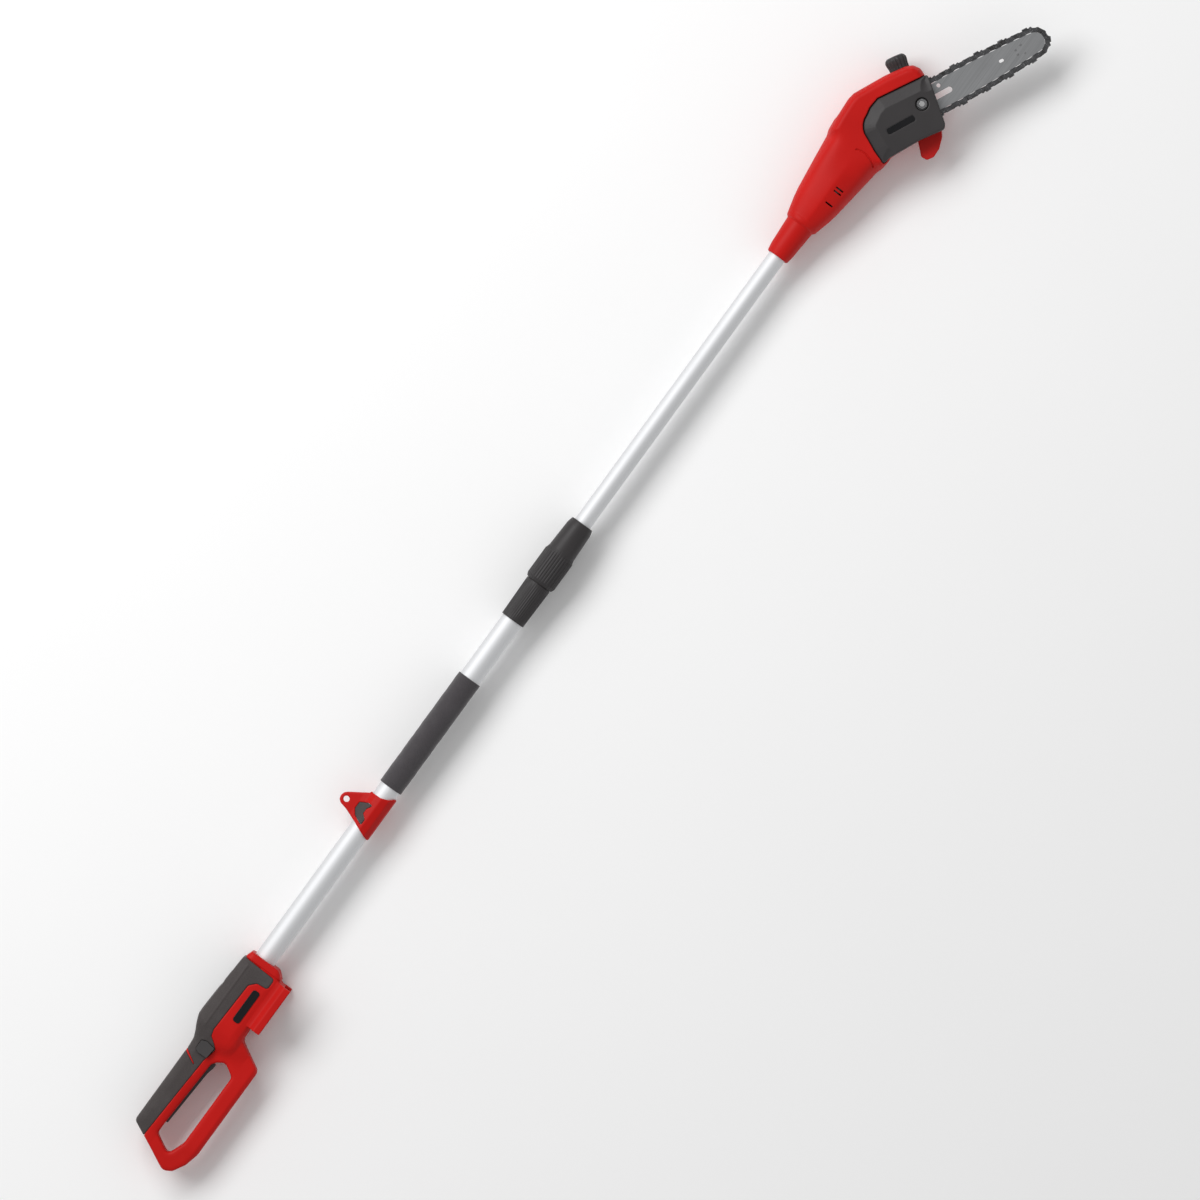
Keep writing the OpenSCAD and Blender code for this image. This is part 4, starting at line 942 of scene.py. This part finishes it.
def head_shell_field(x, y, z):
    form = head_form(x, y, z)
    cover = outline_field(filleted(COVER_OUTLINE, 3), x, y)
    floor = np.maximum(cover - CASE_FLOOR[0], CASE_FLOOR[1] - z)
    hollow = np.maximum(form + HEAD_WALL, -floor)
    hollow = np.maximum(hollow, NECK_DEPTH + 5 - x)
    shell = np.maximum(form, -hollow)
    bosses = np.maximum(bosses_field(x, y, HEAD_BOSSES, HEAD_BOSS_R), form + 1)
    shell = np.minimum(shell, bosses)
    radius, along = cap_place(x, y, z)
    hook = outline_field(HOOK, x, y) - 0.2
    for gone in (
        np.maximum(cover - POCKET_GAP, POCKET_Z - z),
        np.maximum(disc_field(y, z, NECK_BORE_R), x - NECK_DEPTH - 6),
        *(
            np.maximum(radius - hole, np.maximum(start - along, along - CAP_HOLE_END))
            for hole, start in CAP_HOLES
        ),
        disc_field(x - SHAFT_IN_HEAD.x, y - SHAFT_IN_HEAD.y, SHAFT_HOLE_R),
        vent_slots(x, y),
        arc_groove(x, y, form),
        np.maximum(hook, np.abs(z - HOOK_Z) - HOOK_HALF),
    ):
        shell = np.maximum(shell, -gone)
    return np.maximum(shell, -screw_wells(x, y, z, HEAD_BOSSES))


def cover_height(x, y):
    """The cover's top: flat, and sloping down along the upper edge and round the sprocket."""
    edge = outline_field(filleted(COVER_TOP_EDGE, 3), x, y, closed=False)
    return COVER_TOP - COVER_DROP * np.clip(1 - edge / COVER_SLOPE, 0, 1)


def cover_field(x, y, z):
    """The sprocket cover, with pockets for the nut and the badge and a mouth for the bar."""
    side = outline_field(filleted(COVER_OUTLINE, 4), x, y)
    top = cover_height(x, y)
    form = smax(smax(side, (z - top) * COVER_LEAN, 1.8), POCKET_Z + 0.3 - z, 0.5)
    hollow = np.maximum(side + 2.5, z - top + 3)
    form = np.maximum(form, -hollow)
    u, v = bar_place(x, y)
    centre = np.hypot(u - STUD_X, v)
    boss_ends = np.maximum(NUT_BOSS_Z[0] - z, z - NUT_BOSS_Z[1])
    form = smin(form, np.maximum(centre - NUT_BOSS_R, boss_ends), 1)
    pocket = np.maximum(centre - NUT_POCKET_R, NUT_SEAT_Z - z)
    form = smax(form, -pocket, 0.8)
    form = np.maximum(form, -(centre - STUD_HOLE_R))
    form = np.maximum(form, -block_field(u, v, z, *COVER_MOUTH))
    u, v = bar_place(x, y, BADGE_CENTRE)
    plate = np.maximum(np.abs(u) - COVER_BADGE_HALF[0], np.abs(v) - COVER_BADGE_HALF[1])
    return np.maximum(form, -np.maximum(plate, COVER_BADGE_Z - z))


def make_head():
    split_casing("head_shell", head_shell_field, HEAD_BOX, HEAD_HALF, "red_plastic", AT_HEAD)
    cover = field_piece(
        "sprocket_cover_moulded", cover_field, *COVER_BOX, FINE_STEP, AT_HEAD, FINE_KEEP)
    finished(cover, BODY_OF["sprocket_cover"], "black_plastic", "sprocket_cover")


# ---------------------------------------------------------------- turned pieces


TURNED_SHARP = math.radians(40)


def turned(name, profile, place, sides, flute=None):
    """A closed (radius, height) profile turned about Z; flute(turn, height, radius) adds ribs."""
    points = []
    for i in range(sides):
        turn = 2 * math.pi * i / sides
        for radius, height in profile:
            r = radius + (flute(turn, height, radius) if flute else 0)
            spot = Vector((r * math.cos(turn), r * math.sin(turn), height))
            points.append(tuple(place @ spot))
    n = len(profile)
    faces = []
    for i in range(sides):
        here, beside = i * n, (i + 1) % sides * n
        for j in range(n):
            up = (j + 1) % n
            faces.append((here + j, beside + j, beside + up, here + up))
    piece = piece_from(name, points, faces)
    sheet = bmesh.new()
    sheet.from_mesh(piece.data)
    bmesh.ops.remove_doubles(sheet, verts=sheet.verts, dist=1e-6)
    bmesh.ops.recalc_face_normals(sheet, faces=sheet.faces)
    sheet.to_mesh(piece.data)
    sheet.free()
    piece.data.set_sharp_from_angle(angle=TURNED_SHARP)
    return piece


def along_pole(node):
    """Where a node starts and ends, in mm from the handle's rear."""
    return [(corner.x - HANDLE_ORIGIN.x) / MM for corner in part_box(node)]


ALONG_POLE = AT_HANDLE @ Matrix.Rotation(math.pi / 2, 4, "Y")
LOCK_X = along_pole("lock_sleeve")[0]
NUT_START, NUT_END = along_pole("lock_nut")
LOCK_BORE_R, NUT_BORE_R = 16.02, 13.6


def subdivided(profile, longest):
    """The profile with its long stretches cut up, so that ribs can run along it."""
    out = []
    for i, a in enumerate(profile):
        b = profile[(i + 1) % len(profile)]
        parts = max(1, int(math.hypot(b[0] - a[0], b[1] - a[1]) / longest))
        out += [
            (a[0] + (b[0] - a[0]) * k / parts, a[1] + (b[1] - a[1]) * k / parts)
            for k in range(parts)
        ]
    return out


def make_twist_lock():
    """The ribbed sleeve on the lower tube, and the ribbed nut that turns on it."""
    sleeve = [
        (LOCK_BORE_R, LOCK_X), (18.3, LOCK_X), (19.5, NUT_START - 1.4), (18.6, NUT_START - 0.6),
        (18.6, NUT_START + 40), (NUT_BORE_R, NUT_START + 40), (NUT_BORE_R, NUT_START - 3),
        (LOCK_BORE_R, NUT_START - 3),
    ]

    def sleeve_ribs(turn, x, radius):
        outside = radius > 17.5 and LOCK_X + 4 < x < NUT_START - 4
        return -0.55 * (0.5 + 0.5 * math.cos(36 * turn)) if outside else 0

    profile = subdivided(filleted(sleeve, 0.8, 3), 6)
    piece = turned("lock_sleeve_ribbed", profile, ALONG_POLE, 288, sleeve_ribs)
    finished(piece, BODY_OF["lock_sleeve"], "black_plastic", "lock_sleeve")
    nut = [
        (18.95, NUT_START), (20.6, NUT_START), (23.1, NUT_START + 5), (23.1, NUT_START + 49),
        (20.9, NUT_START + 55), (19.3, NUT_END - 9), (17.2, NUT_END), (NUT_BORE_R, NUT_END),
        (NUT_BORE_R, NUT_END - 10), (15.7, NUT_END - 13), (17.9, NUT_START + 41),
        (18.95, NUT_START + 41),
    ]

    def nut_ribs(turn, x, radius):
        depth = 0.0
        if radius > 19.1 and NUT_START + 3 < x < NUT_START + 52:
            depth -= 0.8 * max(0.0, math.cos(32 * turn)) ** 2
        if radius > 22 and abs(x - NUT_START - 50.5) < 1.3:
            depth -= 0.6
        return depth

    profile = subdivided(filleted(nut, 1.4, 3), 5)
    piece = turned("lock_nut_ribbed", profile, ALONG_POLE, 320, nut_ribs)
    finished(piece, BODY_OF["lock_nut"], "black_plastic", "lock_nut")


FOAM_BORE_R = 16.05
FOAM_CORE_R = 17  # nearer the axis than this, the foam keeps its shape


def make_foam_grip():
    """The padded tube of foam, with slow waves in its skin."""
    low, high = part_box("foam_grip")
    start, end = along_pole("foam_grip")
    radius = (high.y - low.y) / 2 / MM
    profile = [(FOAM_BORE_R, start), (radius, start), (radius, end), (FOAM_BORE_R, end)]

    def pressed(turn, x, r):
        if r < FOAM_CORE_R:
            return 0
        wave = 0.1 * math.sin(0.16 * x + 2 * turn) + 0.08 * math.sin(0.41 * x - 3 * turn + 1)
        return -0.18 + wave

    piece = turned(
        "foam_grip_tube", subdivided(filleted(profile, 1.6), 3), ALONG_POLE, 96, pressed)
    finished(piece, BODY_OF["foam_grip"], "foam", "foam_grip")


CORE_R = 0.01  # keeps a solid turned piece's axis from closing up
AT_CAP = (
    AT_HEAD @ Matrix.Translation(CAP_AT) @ Matrix.Rotation(-CAP_LEAN, 4, "Z")
    @ Matrix.Rotation(-math.pi / 2, 4, "X")
)


def make_oil_cap():
    """Ribbed screw cap with a sunk top and a bar across it to grip."""
    outer = [
        (CORE_R, 20.2), (9.4, 20.2), (10.4, 22), (11.8, 22), (14.4, 20), (15.6, 16.5), (15.4, 13),
        (14.2, 7), (14, 0.6), (13.6, 0), (12.4, 0), (12.4, 7.6), (CORE_R, 7.6),
    ]

    def ribs(turn, height, radius):
        outside = radius > 13.9 and 0.5 < height < 19.6
        return 0.6 * math.cos(18 * turn) - 0.1 if outside else 0

    cap = turned("oil_cap_ribbed", subdivided(filleted(outer, 0.7, 3), 2.5), AT_CAP, 216, ribs)
    finished(cap, BODY_OF["oil_cap"], "black_plastic", "oil_cap")
    bar = block("oil_cap_bar", (-9.2, -1.6, 17.6), (9.2, 1.6, 20), AT_CAP, 0.6)
    finished(bar, BODY_OF["oil_cap"], "black_plastic")


def block(name, low, high, place, round_mm):
    """A block with rounded edges."""
    ring = ((low[0], low[1]), (high[0], low[1]), (high[0], high[1]), (low[0], high[1]))
    corners = [tuple(place @ Vector((x, y, z))) for z in (low[2], high[2]) for x, y in ring]
    faces = [(3, 2, 1, 0), (4, 5, 6, 7), (0, 1, 5, 4), (1, 2, 6, 5), (2, 3, 7, 6), (3, 0, 4, 7)]
    piece = piece_from(name, corners, faces)
    edge = piece.modifiers.new("edge", "BEVEL")
    edge.width = round_mm * MM
    edge.segments = 3
    return applied(piece)


COIL_R, COIL_WIRE_R, COIL_TURNS = 6.4, 2.3, 44
COIL_TAILS = (22, 18)  # the straight leads before and after the coil


def coiled(name, start, end):
    """A coiled lead along the pole from start to end, with its tails on the axis."""
    curve = bpy.data.curves.new(name, "CURVE")
    curve.dimensions = "3D"
    curve.bevel_depth = COIL_WIRE_R * MM
    curve.bevel_resolution = 2
    first, last = start + COIL_TAILS[0], end - COIL_TAILS[1]
    steps = COIL_TURNS * 12
    line = [(start, 0, 0), (first - 4, 0, 0)]
    for i in range(steps + 1):
        turn = 2 * math.pi * COIL_TURNS * i / steps
        grow = min(1, i / 8, (steps - i) / 8)
        x = first + (last - first) * i / steps
        line.append((x, COIL_R * grow * math.cos(turn), COIL_R * grow * math.sin(turn)))
    line += [(last + 4, 0, 0), (end, 0, 0)]
    spline = curve.splines.new("POLY")
    spline.points.add(len(line) - 1)
    for point, spot in zip(spline.points, line):
        point.co = (*(AT_HANDLE @ Vector(spot)), 1)
    spline.use_smooth = True
    lead = added(name + "_line", curve)
    bpy.context.view_layer.update()
    graph = bpy.context.evaluated_depsgraph_get()
    mesh = bpy.data.meshes.new_from_object(lead.evaluated_get(graph))
    bpy.data.objects.remove(lead)
    smooth(mesh)
    return added(name, mesh)


def make_coiled_cable():
    """The lead inside the tubes, as a fixed coil; the real lead's turns close up as the telescope
    slides in.
    """
    piece = coiled("coiled_cable_turns", *along_pole("coiled_cable"))
    finished(piece, BODY_OF["coiled_cable"], "cable_sheath", "coiled_cable")
    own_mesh(piece)


NOSE_RIVETS = ((20, 6.5), (20, -6.5), (30, 3.5), (30, -3.5))  # back from the nose, and across
RIVET = [(CORE_R, -2.06), (1.6, -2.06), (2.0, -1.95), (2.0, 1.95), (1.6, 2.06), (CORE_R, 2.06)]


def make_bar_details():
    """Rivets of the bar's nose, flush with both faces."""
    for number, (back, across) in enumerate(NOSE_RIVETS):
        at = AT_BAR @ Matrix.Translation((BAR_REACH - back, across, 0))
        rivet = turned(f"nose_rivet_{number}", RIVET, at, 32)
        finished(rivet, BODY_OF["guide_bar"], "gear_steel")


# ---------------------------------------------------------------- CAD nodes that keep their shape

SOFTENED = {  # mm of rounding on the edges
    "trigger": 0.8, "lock_off_button": 0.7, "handle_badges": 0.3, "battery_dock": 0.5,
    "handle_screws": 0.25, "head_screws": 0.25, "sling_bolt": 0.3, "head_badge": 0.25,
    "cover_nut": 0.3, "motor_can": 0.4, "bar_stud": 0.3, "guide_bar": 0.25, "branch_hook": 1.6,
    "tension_screw": 0.2, "tension_block": 0.3, "chain_drive_links": 0.15,
    "chain_tie_straps": 0.2, "chain_cutters": 0.2, "chain_rivets": 0.25,
    "drive_sprocket": 0.3, "oil_tank": 0.6, "switch_body": 0.4,
}
INNER_SHARP = math.radians(30)


def make_cad_looks():
    for node, width in SOFTENED.items():
        softened(node, width)
    for name, item in frame["nodes"].items():
        if item.hide_render:  # another piece stands for it
            continue
        item.data.materials[0] = finish_of(SLOT_OF[name])
        smooth(item.data)
        item.data.set_sharp_from_angle(angle=INNER_SHARP)


# ---------------------------------------------------------------- stage, light and camera


FLOOR_SIZE = 30
FLOOR_GAP = 0.0005


def make_stage():
    low, _ = cad_box
    bpy.ops.mesh.primitive_plane_add(size=FLOOR_SIZE, location=(0, 0, low[2] - FLOOR_GAP))
    floor = bpy.context.object
    floor.name = "floor"
    shader = Shader("floor_paper", Roughness=0.9)
    tone = shader.noise(2, 2)
    shader.paint(shader.tinted(tone, (0.93, 0.93, 0.93), (0.95, 0.95, 0.95)))
    floor.data.materials.append(shader.material)


def area_light(name, place, size, power):
    """A rectangular light that faces the middle of the saw."""
    light = bpy.data.lights.new(name, "AREA")
    light.shape = "RECTANGLE"
    light.size, light.size_y = size
    light.energy = power
    item = added(name, light)
    item.location = place
    item.rotation_euler = (-Vector(place)).to_track_quat("-Z", "Y").to_euler()


WORLD_STRENGTH = 0.46


def make_light():
    world = bpy.data.worlds.new("studio")
    bpy.context.scene.world = world
    world.use_nodes = True
    background = world.node_tree.nodes["Background"]
    background.inputs["Color"].default_value = (1, 1, 1, 1)
    background.inputs["Strength"].default_value = WORLD_STRENGTH
    area_light("key", (0.5, 3.2, 3.4), (5, 2), 182)
    area_light("fill", (0.4, -3.6, 2.6), (5, 1.8), 10)
    bpy.context.scene.view_settings.view_transform = "Standard"


CAMERA_TURN = math.radians(-53.93)
CAMERA_CENTRE = (-0.0017, -0.0387)
FRAME_WIDTH = 1.704  # metres across the picture at the saw
LENS = 200  # mm
SENSOR = 36  # mm


def make_camera():
    camera = bpy.data.cameras.new("camera")
    camera.lens = LENS
    camera.sensor_width = SENSOR
    item = added("camera", camera)
    height = POLE.z + FRAME_WIDTH * LENS / SENSOR
    item.location = (*CAMERA_CENTRE, height)
    item.rotation_euler = (0, 0, CAMERA_TURN)
    bpy.context.scene.camera = item


make_camera()
make_stage()
make_light()
make_handle()
make_sling_bracket()
make_head()
make_twist_lock()
make_foam_grip()
make_oil_cap()
make_coiled_cable()
make_bar_details()
make_cad_looks()
